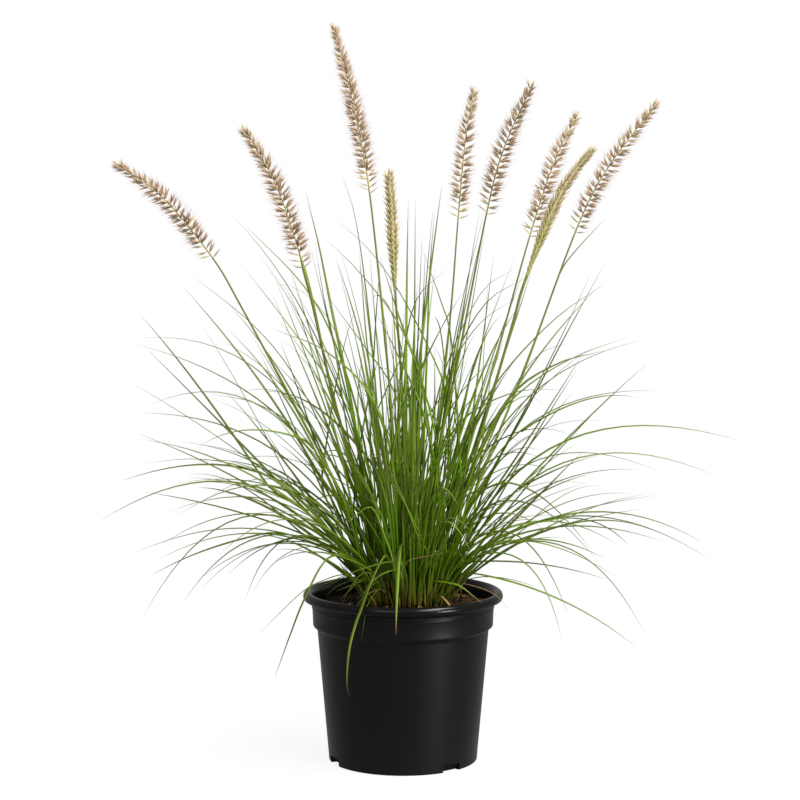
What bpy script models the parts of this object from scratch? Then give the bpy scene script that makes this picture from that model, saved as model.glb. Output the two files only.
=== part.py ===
"""Potted fountain grass clump.

A black nursery pot holds soil.  The crown of the grass sits on the soil, and
from the crown rise leafy shoots and nine flower stems, each with its plume.

The origin is the middle of the pot's flat underside, +Z is up and the front
faces -Y.  The tables of routes are in millimetres, and MM turns them into
metres.  A route lies in an upright plane through the crown's axis: its heading
is the plane's compass angle in degrees (0 is +X, 90 is +Y), its reach is the
distance from the axis and its height is measured from the ground.
"""

import math

import bmesh
import bpy
from mathutils import Vector

MM = 0.001
GAP = 0.3 * MM  # clearance between pieces that touch

# Pot: a thin moulded shell with a rolled rim, a collar and a shoulder.
POT_HEIGHT = 195.5 * MM
RIM_RADIUS = 114.5 * MM
COLLAR_RADIUS = 103.6 * MM
BODY_TOP_RADIUS = 98.2 * MM
BASE_RADIUS = 85.4 * MM
SHOULDER_HEIGHT = 155.0 * MM
LIP_UNDERSIDE = 181.0 * MM
WALL = 2.0 * MM
FLOOR = 2.5 * MM
TURNED_STEPS = 32  # facets round the pot and the soil

# Three drain notches cut into the pot's bottom edge.
NOTCH_HEADINGS = (-50, 76, 203)
NOTCH_WIDTH = 24.0 * MM
NOTCH_HEIGHT = 9.0 * MM
NOTCH_DEPTH = 8.0 * MM

# Soil and the crown, the packed mass of shoot bases that stands on it.
SOIL_HEIGHT = 184.0 * MM
SOIL_FALL = 5.0 * MM  # how far the soil drops from the crown to the pot's wall
SOIL_BUMP = 1.4 * MM
CROWN_X = 5.0 * MM
CROWN_FOOT_RADIUS = 52.0 * MM
CROWN_TOP_RADIUS = 63.0 * MM
CROWN_TOP = 210.0 * MM
CROWN_FLUTES = 28
FLUTE_DEPTH = 0.07  # as a share of the crown's radius

# Leaves: a keeled strip that grows out of a three-sided sheath.
SHEATH_WIDTH = 5.0 * MM
SHEATH_KEEL = 4.0 * MM
SHEATH_HEIGHT = 10.0 * MM
LEAF_WIDTH = 4.6 * MM
LEAF_TIP_WIDTH = 0.8 * MM
KEEL_SHARE = 0.3  # keel depth as a share of the leaf's width
HIGH_LEAF_SPANS = 6
LOW_LEAF_SPANS = 5
LOW_LEAF_START = 4.0 * MM  # height on the sheath where the lower leaf begins
LOW_LEAF_INSET = 1.3 * MM
LOW_LEAF_TURN = 3.0  # degrees between the two leaves of a shoot

# Flower stems and plumes.
STEM_FOOT_RADIUS = 1.8 * MM
STEM_TOP_RADIUS = 1.3 * MM
STEM_SPANS = 6
PLUME_SIDES = 6  # every second side carries a spikelet
WHORL_SPACING = 10.2 * MM
RACHIS_RADIUS = 1.5 * MM
SPIKELET_RISE = 11.5 * MM
SPIKELET_SWAY = 0.12  # how much the spikelets differ in length

# name: heading, reach of the foot, then the upper and the lower leaf, each as
# (middle reach, middle height, tip reach, tip height).
SHOOTS = {
    "left_shoot_1": (148, 54, (165, 310, 300, 325), (197, 263, 366, 285)),
    "left_shoot_2": (156, 54, (168, 347, 345, 385), (185, 300, 342, 362)),
    "left_shoot_3": (164, 54, (125, 395, 215, 520), (142, 385, 266, 540)),
    "left_shoot_4": (172, 54, (168, 327, 334, 316), (190, 317, 355, 272)),
    "left_shoot_5": (181, 54, (135, 385, 305, 478), (175, 350, 295, 475)),
    "left_shoot_6": (189, 54, (183, 286, 300, 177), (174, 272, 310, 250)),
    "left_shoot_7": (197, 54, (165, 290, 285, 262), (151, 258, 247, 222)),
    "left_shoot_8": (205, 54, (139, 268, 198, 202), (174, 272, 277, 206)),
    "left_shoot_9": (213, 54, (165, 335, 290, 385), (170, 310, 311, 314)),
    "left_shoot_10": (227, 54, (150, 290, 250, 310), (150, 258, 225, 255)),
    "right_shoot_1": (321, 54, (145, 277, 224, 195), (150, 248, 208, 166)),
    "right_shoot_2": (332, 54, (160, 319, 283, 352), (168, 275, 284, 307)),
    "right_shoot_3": (343, 54, (177, 257, 274, 165), (165, 197, 264, 143)),
    "right_shoot_4": (354, 54, (176, 368, 374, 373), (180, 345, 350, 330)),
    "right_shoot_5": (4, 54, (198, 283, 340, 248), (196, 278, 353, 225)),
    "right_shoot_6": (13, 54, (173, 262, 308, 241), (145, 248, 240, 222)),
    "right_shoot_7": (21, 54, (138, 372, 312, 415), (175, 334, 311, 445)),
    "right_shoot_8": (29, 54, (170, 262, 287, 227), (168, 212, 284, 182)),
    "right_shoot_9": (37, 54, (128, 385, 331, 470), (165, 330, 279, 455)),
    "right_shoot_10": (46, 54, (162, 389, 341, 532), (205, 373, 350, 550)),
    "front_shoot_1": (253, 54, (95, 380, 175, 440), (105, 340, 195, 370)),
    "front_shoot_2": (274, 54, (85, 395, 150, 490), (95, 350, 175, 420)),
    "front_shoot_3": (286, 54, (105, 320, 195, 320), (115, 290, 205, 272)),
    "front_shoot_4": (298, 54, (85, 395, 155, 500), (100, 350, 185, 430)),
    "front_shoot_5": (309, 54, (125, 345, 225, 370), (130, 295, 220, 290)),
    "back_shoot_1": (60, 54, (150, 395, 280, 510), (165, 350, 300, 440)),
    "back_shoot_2": (78, 54, (165, 330, 295, 325), (175, 285, 305, 250)),
    "back_shoot_3": (96, 54, (110, 415, 200, 550), (145, 375, 260, 490)),
    "back_shoot_4": (114, 54, (165, 325, 290, 310), (175, 280, 300, 240)),
    "back_shoot_5": (132, 54, (136, 377, 239, 546), (155, 350, 270, 478)),
    "upright_shoot_1": (75, 22, (55, 430, 116, 627), (75, 400, 160, 558)),
    "upright_shoot_2": (283, 24, (32, 430, 38, 641), (45, 400, 70, 586)),
    "upright_shoot_3": (335, 24, (48, 430, 95, 630), (78, 395, 140, 565)),
    "upright_shoot_4": (15, 24, (48, 415, 90, 611), (65, 400, 130, 575)),
    "upright_shoot_5": (203, 24, (46, 400, 86, 573), (70, 400, 140, 545)),
    "upright_shoot_6": (145, 24, (45, 410, 95, 583), (75, 385, 131, 580)),
}

# Three leaves that hang over the rim: heading and the route's points.
RIM_LEAVES = {
    "rim_leaf_1": (246, ((54, 210), (74, 236), (104, 215), (138, 180), (160, 139), (156, 104))),
    "rim_leaf_2": (220, ((54, 210), (82, 240), (117, 243), (148, 202), (168, 165), (190, 121))),
    "rim_leaf_3": (264, ((54, 210), (66, 256), (92, 238), (114, 204), (120, 172))),
}

# Flower stems: heading, the stem's points up to the plume's foot, then the
# plume's points up to its tip, its widest radius, and the stalk's swelling.
FLOWER_STEMS = (
    (184, ((27, 210), (105, 365), (186, 518)), ((220, 577), (274, 643), (329, 684)), 13.0, 1.0),
    (165, ((41, 210), (58, 310), (90, 424)), ((119, 549), (154, 654), (196, 724)), 12.5, 1.1),
    (125, ((12, 210), (24, 330), (39, 447)), ((76, 648), (110, 752), (151, 845)), 14.0, 1.0),
    (250, ((8, 210), (10, 320), (18, 427)), ((40, 538), (51, 623), (61, 676)), 8.0, 1.0),
    (40, ((30, 210), (44, 360), (65, 512)), ((76, 619), (87, 710), (101, 770)), 10.5, 0.8),
    (323, ((9, 210), (38, 335), (72, 470)), ((109, 628), (131, 697), (170, 770)), 13.5, 1.0),
    (25, ((37, 210), (72, 335), (115, 466)), ((156, 598), (188, 684), (220, 742)), 13.0, 1.0),
    (345, ((42, 210), (78, 350), (121, 500)), ((136, 552), (174, 646), (214, 702)), 9.5, 1.6),
    (5, ((42, 210), (84, 325), (134, 449)), ((192, 606), (228, 677), (285, 752)), 13.5, 1.0),
)


def empty_scene():
    """Take out whatever the file opened with."""
    for old in list(bpy.data.objects):
        bpy.data.objects.remove(old, do_unlink=True)


def new_collection(name):
    collection = bpy.data.collections.new(name)
    bpy.context.scene.collection.children.link(collection)
    return collection


def finish(name, colour, roughness):
    """A plain Principled finish, one for each sub-part."""
    material = bpy.data.materials.new(name)
    material.use_nodes = True
    shader = material.node_tree.nodes["Principled BSDF"]
    shader.inputs["Base Color"].default_value = (*colour, 1.0)
    shader.inputs["Roughness"].default_value = roughness
    shader.inputs["Metallic"].default_value = 0.0
    return material


def add_object(name, data, collection, colour, roughness):
    """Put mesh or curve data in the scene under the sub-part's own name."""
    piece = bpy.data.objects.new(name, data)
    collection.objects.link(piece)
    data.materials.append(finish(name + "_finish", colour, roughness))
    return piece


def place(heading, reach, height):
    """The point at this reach and height in the heading's upright plane."""
    angle = math.radians(heading)
    x = CROWN_X + reach * math.cos(angle)
    return Vector((x, reach * math.sin(angle), height))


def across(heading):
    """The level direction square to the heading's plane."""
    angle = math.radians(heading)
    return Vector((math.sin(angle), -math.cos(angle), 0.0))


def smooth_route(points, spans):
    """Points on a smooth curve through the given ones, evenly spread."""
    first = points[0] * 2 - points[1]
    last = points[-1] * 2 - points[-2]
    padded = [first, *points, last]
    fine = []
    for i in range(len(points) - 1):
        a, b, c, d = padded[i:i + 4]
        for step in range(16):
            t = step / 16
            bend = (a * 2 - b * 5 + c * 4 - d) * t * t + (b * 3 - a - c * 3 + d) * t ** 3
            fine.append((b * 2 + (c - a) * t + bend) / 2)
    fine.append(points[-1])
    return even_route(fine, spans)


def even_route(points, spans):
    """The same route with its points an equal length apart."""
    marks = [0.0]
    for a, b in zip(points, points[1:]):
        marks.append(marks[-1] + (b - a).length)
    route = []
    i = 0
    for step in range(spans + 1):
        mark = marks[-1] * step / spans
        while i < len(points) - 2 and marks[i + 1] < mark:
            i += 1
        share = (mark - marks[i]) / (marks[i + 1] - marks[i])
        route.append(points[i].lerp(points[i + 1], min(share, 1.0)))
    return route


def route_length(points):
    return sum((b - a).length for a, b in zip(points, points[1:]))


def leaf_route(heading, start, leaf, spans):
    """An arching leaf from its start, through its middle, to its tip."""
    middle = place(heading, leaf[0] * MM, leaf[1] * MM)
    tip = place(heading, leaf[2] * MM, leaf[3] * MM)
    crest = middle * 2 - (start + tip) / 2
    fine = []
    for step in range(33):
        t = step / 32
        fine.append(start * (1 - t) ** 2 + crest * 2 * t * (1 - t) + tip * t * t)
    return even_route(fine, spans)


def tangents(route):
    """The direction of travel at each point of a route."""
    ends = [route[0], *route, route[-1]]
    return [(after - before).normalized() for before, after in zip(ends, ends[2:])]


def loft(rings):
    """A closed skin through rings that have equally many points."""
    skin = bmesh.new()
    loops = [[skin.verts.new(point) for point in ring] for ring in rings]
    for lower, upper in zip(loops, loops[1:]):
        for i, corner in enumerate(lower):
            after = (i + 1) % len(lower)
            skin.faces.new((corner, lower[after], upper[after], upper[i]))
    skin.faces.new(loops[0])
    skin.faces.new(loops[-1])
    return closed_mesh(skin)


def closed_mesh(skin):
    """Turn the faces outwards and hand the skin over as a mesh."""
    bmesh.ops.recalc_face_normals(skin, faces=skin.faces)
    mesh = bpy.data.meshes.new("skin")
    skin.to_mesh(mesh)
    skin.free()
    return mesh


def keeled_ring(point, direction, side, width, keel):
    """A leaf's section: a level upper face with a keel under its middle."""
    under = direction.cross(side) * keel
    return (point - side * (width / 2), point + under, point + side * (width / 2))


def leaf_rings(route, side):
    """Sections along a leaf, which narrows to its fine tip."""
    rings = []
    last = len(route) - 1
    for i, (point, direction) in enumerate(zip(route, tangents(route))):
        width = LEAF_TIP_WIDTH + (LEAF_WIDTH - LEAF_TIP_WIDTH) * (1 - (i / last) ** 2.2)
        rings.append(keeled_ring(point, direction, side, width, KEEL_SHARE * width))
    return rings


def sheathed_leaf(foot, route, side):
    """A leaf that rises out of its upright sheath."""
    up = Vector((0.0, 0.0, 1.0))
    rings = [keeled_ring(foot, up, side, SHEATH_WIDTH, SHEATH_KEEL)]
    throat = foot + up * SHEATH_HEIGHT * 0.8
    rings.append(keeled_ring(throat, up, side, SHEATH_WIDTH, SHEATH_KEEL * 0.7))
    rings.extend(leaf_rings(route, side)[1:])
    return loft(rings)


def join(piece, other):
    """Fuse another object into the piece, and take the other away."""
    union = piece.modifiers.new("join", "BOOLEAN")
    union.operation = "UNION"
    union.solver = "EXACT"
    union.object = other
    depsgraph = bpy.context.evaluated_depsgraph_get()
    fused = bpy.data.meshes.new_from_object(piece.evaluated_get(depsgraph))
    piece.modifiers.clear()
    piece.data = fused
    bpy.data.objects.remove(other, do_unlink=True)


def build_shoot(name, heading, foot_reach, high, low, collection):
    """Two leaves on one sheath, the upper one with the sheath's own body."""
    side = across(heading)
    foot = place(heading, foot_reach * MM, CROWN_TOP + GAP)
    throat = foot + Vector((0.0, 0.0, SHEATH_HEIGHT))
    high_route = leaf_route(heading, throat, high, HIGH_LEAF_SPANS)
    colour = (0.10, 0.24, 0.04)
    shoot = add_object(name, sheathed_leaf(foot, high_route, side), collection, colour, 0.55)

    turned = heading + LOW_LEAF_TURN
    start = place(heading, foot_reach * MM + LOW_LEAF_INSET, foot.z + LOW_LEAF_START)
    low_route = leaf_route(turned, start, low, LOW_LEAF_SPANS)
    rings = leaf_rings(low_route, across(turned))
    rings[0] = [start + (point - start) * 0.6 for point in rings[0]]
    lower = add_object(name + "_lower_leaf", loft(rings), collection, colour, 0.55)
    join(shoot, lower)


def build_rim_leaf(name, heading, points, collection):
    """One leaf that bends over the rim and hangs down outside the pot."""
    placed = [place(heading, reach * MM, height * MM) for reach, height in points]
    foot = placed[0] + Vector((0.0, 0.0, GAP))
    placed[0] = foot + Vector((0.0, 0.0, SHEATH_HEIGHT * 0.6))
    route = smooth_route(placed, 2 * len(points))
    mesh = sheathed_leaf(foot, route, across(heading))
    add_object(name, mesh, collection, (0.12, 0.25, 0.05), 0.55)


def build_stem(name, route, swelling, collection):
    """A round flower stem, cut level where it stands on the crown."""
    curve = bpy.data.curves.new(name, "CURVE")
    curve.dimensions = "3D"
    curve.bevel_depth = STEM_FOOT_RADIUS
    curve.bevel_resolution = 1
    curve.render_resolution_u = 0
    curve.use_fill_caps = True
    spline = curve.splines.new("POLY")
    spline.points.add(len(route) - 1)
    last = len(route) - 1
    for i, (knot, point) in enumerate(zip(spline.points, route)):
        knot.co = (*point, 1.0)
        end = swelling * STEM_TOP_RADIUS / STEM_FOOT_RADIUS
        knot.radius = 1.0 + (end - 1.0) * (i / last)
    add_object(name, curve, collection, (0.14, 0.28, 0.05), 0.5)


def build_plume(name, route, widest, collection):
    """A bottle-brush flower head: whorls of spikelets fused to their rachis."""
    length = route_length(route)
    whorls = round(length / WHORL_SPACING)
    knots = even_route(route, whorls + 1)
    directions = tangents(knots)
    spacing = length / (whorls + 1)
    rise = SPIKELET_RISE * min(1.0, spacing / WHORL_SPACING + 0.1)

    skin = bmesh.new()
    angles = [math.tau * i / PLUME_SIDES for i in range(PLUME_SIDES)]

    def spot(k, angle, radius, advance):
        direction = directions[k]
        side = direction.orthogonal().normalized()
        out = side * math.cos(angle) + direction.cross(side) * math.sin(angle)
        return skin.verts.new(knots[k] + out * radius + direction * advance)

    root = [spot(0, angle, RACHIS_RADIUS, 0.0) for angle in angles]
    skin.faces.new(root)
    for k in range(whorls):
        along = k / (whorls - 1)
        fullness = min(1.0, 0.55 + along * 2.2) * (1.0 - 0.55 * max(0.0, along - 0.6) / 0.4)
        core = RACHIS_RADIUS * (1.0 - 0.45 * along)
        points = []
        for i, angle in enumerate(angles):
            sway = 1.0 + SPIKELET_SWAY * math.sin(2.4 * k + 1.7 * i)
            if (i + k) % 2 == 0:
                points.append(spot(k, angle, widest * fullness * sway, rise * sway))
            else:
                points.append(spot(k, angle, core * 1.25, spacing * 0.4))
        above = [spot(k + 1, angle, core, 0.0) for angle in angles]
        for i in range(PLUME_SIDES):
            j = (i + 1) % PLUME_SIDES
            if (i + k) % 2 == 0:
                far, near = i, j
            else:
                far, near = j, i
            skin.faces.new((root[far], points[near], points[far]))
            skin.faces.new((root[far], root[near], points[near]))
            skin.faces.new((above[far], points[far], points[near]))
            skin.faces.new((above[far], points[near], above[near]))
        root = above
    tip = skin.verts.new(knots[-1] + directions[-1] * spacing * 0.5)
    for i in range(PLUME_SIDES):
        skin.faces.new((root[i], root[(i + 1) % PLUME_SIDES], tip))
    add_object(name, closed_mesh(skin), collection, (0.42, 0.30, 0.24), 0.8)


def build_flower_stem(number, row, collection):
    """A flower stem and the plume that continues its line."""
    heading, stem_points, plume_points, widest, swelling = row
    stem = [place(heading, reach * MM, height * MM) for reach, height in stem_points]
    plume = [place(heading, reach * MM, height * MM) for reach, height in plume_points]
    foot = stem[0] + Vector((0.0, 0.0, GAP))
    stem[0] = foot + Vector((0.0, 0.0, SHEATH_HEIGHT * 0.6))

    fine_spans = 120
    whole = smooth_route(stem + plume, fine_spans)
    join_at = min(range(fine_spans), key=lambda i: (whole[i] - plume[0]).length)
    below = even_route(whole[:join_at + 1], STEM_SPANS)
    above = list(whole[join_at:])
    step = (above[1] - above[0]).normalized() * GAP
    below[-1] = below[-1] - step / 2
    above[0] = above[0] + step / 2
    build_stem(f"flower_stem_{number}", [foot, *below], swelling, collection)
    build_plume(f"plume_{number}", above, widest * MM, collection)


def turned(name, profile, collection, colour, roughness):
    """A profile in the XZ plane, turned about the Z axis."""
    mesh = bpy.data.meshes.new(name)
    edges = [(i, i + 1) for i in range(len(profile) - 1)]
    mesh.from_pydata([(r, 0.0, z) for r, z in profile], edges, [])
    piece = add_object(name, mesh, collection, colour, roughness)
    screw = piece.modifiers.new("turn", "SCREW")
    screw.steps = TURNED_STEPS
    screw.render_steps = TURNED_STEPS
    screw.use_merge_vertices = True
    screw.merge_threshold = 0.00005
    return piece


def build_pot(collection, cutters):
    """The moulded pot, floor and wall in one shell, with its drain notches."""
    inner_top = BODY_TOP_RADIUS - WALL
    inner_base = BASE_RADIUS - WALL
    inner_collar = COLLAR_RADIUS - WALL
    profile = (
        (0.0, FLOOR),
        (inner_base - 3 * MM, FLOOR),
        (inner_base, FLOOR + 3.5 * MM),
        (inner_top, SHOULDER_HEIGHT - 2 * MM),
        (inner_collar, SHOULDER_HEIGHT + 3 * MM),
        (inner_collar + 0.6 * MM, POT_HEIGHT - 9 * MM),
        (RIM_RADIUS - 5.8 * MM, POT_HEIGHT - 1 * MM),
        (RIM_RADIUS - 3.2 * MM, POT_HEIGHT),
        (RIM_RADIUS - 0.8 * MM, POT_HEIGHT - 2.2 * MM),
        (RIM_RADIUS, POT_HEIGHT - 6 * MM),
        (RIM_RADIUS - 1.5 * MM, POT_HEIGHT - 10.5 * MM),
        (COLLAR_RADIUS + 0.8 * MM, LIP_UNDERSIDE),
        (COLLAR_RADIUS + 0.5 * MM, LIP_UNDERSIDE - 3 * MM),
        (COLLAR_RADIUS - 0.4 * MM, SHOULDER_HEIGHT + 3 * MM),
        (COLLAR_RADIUS - 2 * MM, SHOULDER_HEIGHT),
        (BODY_TOP_RADIUS, SHOULDER_HEIGHT - 3 * MM),
        (BASE_RADIUS, 5 * MM),
        (BASE_RADIUS - 1.2 * MM, 1.4 * MM),
        (BASE_RADIUS - 3.2 * MM, 0.0),
        (0.0, 0.0),
    )
    pot = turned("pot", profile, collection, (0.018, 0.018, 0.019), 0.42)
    for number, heading in enumerate(NOTCH_HEADINGS, 1):
        cut_notch(pot, number, heading, cutters)


def cut_notch(pot, number, heading, cutters):
    """Open one drain notch through the pot's bottom edge."""
    block = bmesh.new()
    bmesh.ops.create_cube(block, size=1.0)
    bmesh.ops.scale(block, vec=(NOTCH_DEPTH * 2, NOTCH_WIDTH, NOTCH_HEIGHT * 2), verts=block.verts)
    mesh = bpy.data.meshes.new(f"notch_cutter_{number}")
    block.to_mesh(mesh)
    block.free()
    cutter = bpy.data.objects.new(f"notch_cutter_{number}", mesh)
    cutters.objects.link(cutter)
    angle = math.radians(heading)
    cutter.location = (BASE_RADIUS * math.cos(angle), BASE_RADIUS * math.sin(angle), 0.0)
    cutter.rotation_euler = (0.0, 0.0, angle)
    cutter.hide_render = True
    cutter.display_type = "WIRE"
    cut = pot.modifiers.new(f"notch_{number}", "BOOLEAN")
    cut.operation = "DIFFERENCE"
    cut.solver = "EXACT"
    cut.object = cutter


def build_soil(collection):
    """The soil fills the pot to below its rim, with a lumpy, mounded top."""
    base = BASE_RADIUS - WALL - GAP
    shoulder = BODY_TOP_RADIUS - WALL - GAP
    top = COLLAR_RADIUS - WALL - GAP
    level = SOIL_HEIGHT
    profile = (
        (0.0, level),
        (CROWN_TOP_RADIUS, level),
        (76 * MM, level - SOIL_FALL * 0.4),
        (90 * MM, level - SOIL_FALL * 0.6),
        (top, level - SOIL_FALL),
        (top, SHOULDER_HEIGHT + 3.4 * MM),
        (shoulder, SHOULDER_HEIGHT - 1.7 * MM),
        (base, FLOOR + 4 * MM),
        (base - 3 * MM, FLOOR + GAP),
        (0.0, FLOOR + GAP),
    )
    soil = turned("soil", profile, collection, (0.035, 0.022, 0.015), 0.95)
    depsgraph = bpy.context.evaluated_depsgraph_get()
    mesh = bpy.data.meshes.new_from_object(soil.evaluated_get(depsgraph))
    for vertex in mesh.vertices:
        reach = math.hypot(vertex.co.x, vertex.co.y)
        if vertex.co.z > level - SOIL_FALL and 70 * MM < reach < 95 * MM:
            turn = math.atan2(vertex.co.y, vertex.co.x)
            vertex.co.z += SOIL_BUMP * math.sin(7 * turn + reach * 300) * math.sin(3 * turn)
    soil.modifiers.clear()
    soil.data = mesh


def build_crown(collection):
    """The fluted mass of packed shoot bases, flat where the shoots stand."""
    rings = []
    levels = (
        (CROWN_FOOT_RADIUS, SOIL_HEIGHT + GAP),
        ((CROWN_FOOT_RADIUS + CROWN_TOP_RADIUS) / 2 - 1 * MM, (SOIL_HEIGHT + CROWN_TOP) / 2),
        (CROWN_TOP_RADIUS, CROWN_TOP),
    )
    for radius, height in levels:
        ring = []
        for i in range(CROWN_FLUTES * 2):
            angle = math.tau * i / (CROWN_FLUTES * 2)
            reach = radius * (1.0 - FLUTE_DEPTH * (i % 2))
            ring.append((CROWN_X + reach * math.cos(angle), reach * math.sin(angle), height))
        rings.append(ring)
    add_object("crown", loft(rings), collection, (0.20, 0.17, 0.07), 0.8)


def main():
    empty_scene()
    grass = new_collection("potted_fountain_grass_clump")
    cutters = new_collection("cutters")
    build_pot(grass, cutters)
    build_soil(grass)
    build_crown(grass)
    for name, (heading, foot, high, low) in SHOOTS.items():
        build_shoot(name, heading, foot, high, low, grass)
    for name, (heading, points) in RIM_LEAVES.items():
        build_rim_leaf(name, heading, points, grass)
    for number, row in enumerate(FLOWER_STEMS, 1):
        build_flower_stem(number, row, grass)


main()
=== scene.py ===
"""The looks of a potted fountain grass clump.

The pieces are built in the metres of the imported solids, and most of them stand
for one.  The grass grows along routes, lists of points from the soil to a
tip.  The tables give a route in an upright plane through the crown's axis: a
heading in degrees (0 is +X, 90 is +Y), then reaches from the axis and heights
above the ground in millimetres.
"""

import math
import random

import bpy
from mathutils import Matrix, Vector, noise


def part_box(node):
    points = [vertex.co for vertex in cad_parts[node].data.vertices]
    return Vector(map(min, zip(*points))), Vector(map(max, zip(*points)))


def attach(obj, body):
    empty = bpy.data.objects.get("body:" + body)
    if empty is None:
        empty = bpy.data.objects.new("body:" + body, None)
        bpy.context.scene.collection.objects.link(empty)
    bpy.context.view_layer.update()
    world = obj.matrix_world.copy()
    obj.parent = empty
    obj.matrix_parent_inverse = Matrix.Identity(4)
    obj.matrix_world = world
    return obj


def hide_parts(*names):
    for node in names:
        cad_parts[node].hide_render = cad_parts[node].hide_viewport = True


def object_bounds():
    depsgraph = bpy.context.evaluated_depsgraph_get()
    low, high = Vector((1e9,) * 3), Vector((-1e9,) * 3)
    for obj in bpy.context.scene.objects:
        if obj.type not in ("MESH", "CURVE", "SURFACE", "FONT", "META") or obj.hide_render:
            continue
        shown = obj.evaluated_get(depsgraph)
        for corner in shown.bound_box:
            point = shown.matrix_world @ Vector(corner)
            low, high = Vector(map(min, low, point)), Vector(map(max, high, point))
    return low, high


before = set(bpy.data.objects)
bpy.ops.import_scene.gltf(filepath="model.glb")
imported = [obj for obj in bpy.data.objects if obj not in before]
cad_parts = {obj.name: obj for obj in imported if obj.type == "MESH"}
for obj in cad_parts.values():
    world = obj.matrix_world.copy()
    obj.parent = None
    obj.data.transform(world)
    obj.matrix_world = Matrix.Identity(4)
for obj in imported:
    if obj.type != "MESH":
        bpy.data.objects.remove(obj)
cad_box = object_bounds()

MM = 0.001
UP = Vector((0.0, 0.0, 1.0))

# Sizes read from the solids.
POT_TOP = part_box("pot")[1].z
RIM_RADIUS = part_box("pot")[1].x
SOIL_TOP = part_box("soil")[1].z
SOIL_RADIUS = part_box("soil")[1].x
CROWN_LOW, CROWN_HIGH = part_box("crown")
CROWN_X = (CROWN_LOW.x + CROWN_HIGH.x) / 2
CROWN_TOP = CROWN_HIGH.z

# Pot.
COLLAR_RADIUS = 103.6 * MM
BODY_TOP_RADIUS = 98.2 * MM
BASE_RADIUS = 85.4 * MM
SHOULDER_HEIGHT = 155.0 * MM
LIP_UNDERSIDE = 181.0 * MM
WALL = 2.0 * MM
FLOOR = 2.5 * MM
POT_STEPS = 144
NOTCH_HEADINGS = (-50, 76, 203)
NOTCH_WIDTH = 24.0 * MM
NOTCH_HEIGHT = 9.0 * MM
NOTCH_DEPTH = 8.0 * MM

# Grass.
FOOT_HEIGHT = SOIL_TOP - 2 * MM
CROWN_FOOT_RADIUS = 50 * MM
THROAT_HEIGHT = CROWN_TOP + 10 * MM  # where a traced leaf leaves its sheath
SHEATH_HALF = 1.3 * MM
LEAF_WIDTH = 4.4 * MM
LEAF_SPANS = 20
SHEATH_SHARE = 0.13  # how far along a leaf its sheath reaches, for most of them
OPENING = 0.12  # the share of the leaf over which it then opens into a blade
BLADE_HALF_THICKNESS = 0.22 * MM
FOLD = 0.8  # rise of a blade's edges over its midrib, as a share of its half width
NO_SHEATH = -0.13  # a sheath's share that leaves a blade open from its foot
TINTS = 24  # shades that a piece's strands are dealt

# The reach of a strand's foot in the soil against that of its first point above.
SHOOT_FOOT = 0.84
RIM_LEAF_FOOT = 0.8
STEM_FOOT = 0.85

# How many small things lie on the soil or stand in it, and one of them, a torn
# sheath at the front right, as (x, y, z) in millimetres.
CRUMB_COUNT = 620
FIBRE_COUNT = 420
STRAW_COUNT = 46
SHEATH_COUNT = 230
TORN_SHEATH = ((52, -50, 186), (47, -48, 192), (41, -47, 199))

# The shoots on each side: heading, reach of the foot, then the upper and the lower
# leaf, each as (middle reach, middle height, tip reach, tip height).
SHOOTS = {
    "left": (
        (148, 54, (165, 310, 300, 325), (197, 263, 366, 285)),
        (156, 54, (168, 347, 345, 385), (185, 300, 342, 362)),
        (164, 54, (125, 395, 215, 520), (142, 385, 266, 540)),
        (172, 54, (168, 327, 334, 316), (190, 317, 355, 272)),
        (181, 54, (135, 385, 305, 478), (175, 350, 295, 475)),
        (189, 54, (183, 286, 300, 177), (174, 272, 310, 250)),
        (197, 54, (165, 290, 285, 262), (151, 258, 247, 222)),
        (205, 54, (139, 268, 198, 202), (174, 272, 277, 206)),
        (213, 54, (165, 335, 290, 385), (170, 310, 311, 314)),
        (227, 54, (150, 290, 250, 310), (150, 258, 225, 255)),
    ),
    "right": (
        (321, 54, (145, 277, 224, 195), (150, 248, 208, 166)),
        (332, 54, (160, 319, 283, 352), (168, 275, 284, 307)),
        (343, 54, (177, 257, 274, 165), (165, 197, 264, 143)),
        (354, 54, (176, 368, 374, 373), (180, 345, 350, 330)),
        (4, 54, (198, 283, 340, 248), (196, 278, 353, 225)),
        (13, 54, (173, 262, 308, 241), (145, 248, 240, 222)),
        (21, 54, (138, 372, 312, 415), (175, 334, 311, 445)),
        (29, 54, (170, 262, 287, 227), (168, 212, 284, 182)),
        (37, 54, (128, 385, 331, 470), (165, 330, 279, 455)),
        (46, 54, (162, 389, 341, 532), (205, 373, 350, 550)),
    ),
    "front": (
        (253, 54, (95, 380, 175, 440), (105, 340, 195, 370)),
        (274, 54, (85, 395, 150, 490), (95, 350, 175, 420)),
        (286, 54, (105, 320, 195, 320), (115, 290, 205, 272)),
        (298, 54, (85, 395, 155, 500), (100, 350, 185, 430)),
        (309, 54, (125, 345, 225, 370), (130, 295, 220, 290)),
    ),
    "back": (
        (60, 54, (150, 395, 280, 510), (165, 350, 300, 440)),
        (78, 54, (165, 330, 295, 325), (175, 285, 305, 250)),
        (96, 54, (110, 415, 200, 550), (145, 375, 260, 490)),
        (114, 54, (165, 325, 290, 310), (175, 280, 300, 240)),
        (132, 54, (136, 377, 239, 546), (155, 350, 270, 478)),
    ),
    "upright": (
        (75, 22, (55, 430, 116, 627), (75, 400, 160, 558)),
        (283, 24, (32, 430, 38, 641), (45, 400, 70, 586)),
        (335, 24, (48, 430, 95, 630), (78, 395, 140, 565)),
        (15, 24, (48, 415, 90, 611), (65, 400, 130, 575)),
        (203, 24, (46, 400, 86, 573), (70, 400, 140, 545)),
        (145, 24, (45, 410, 95, 583), (75, 385, 131, 580)),
    ),
}
LOW_LEAF_TURN = 3.0  # degrees by which a shoot's lower leaf turns from the upper one

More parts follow.
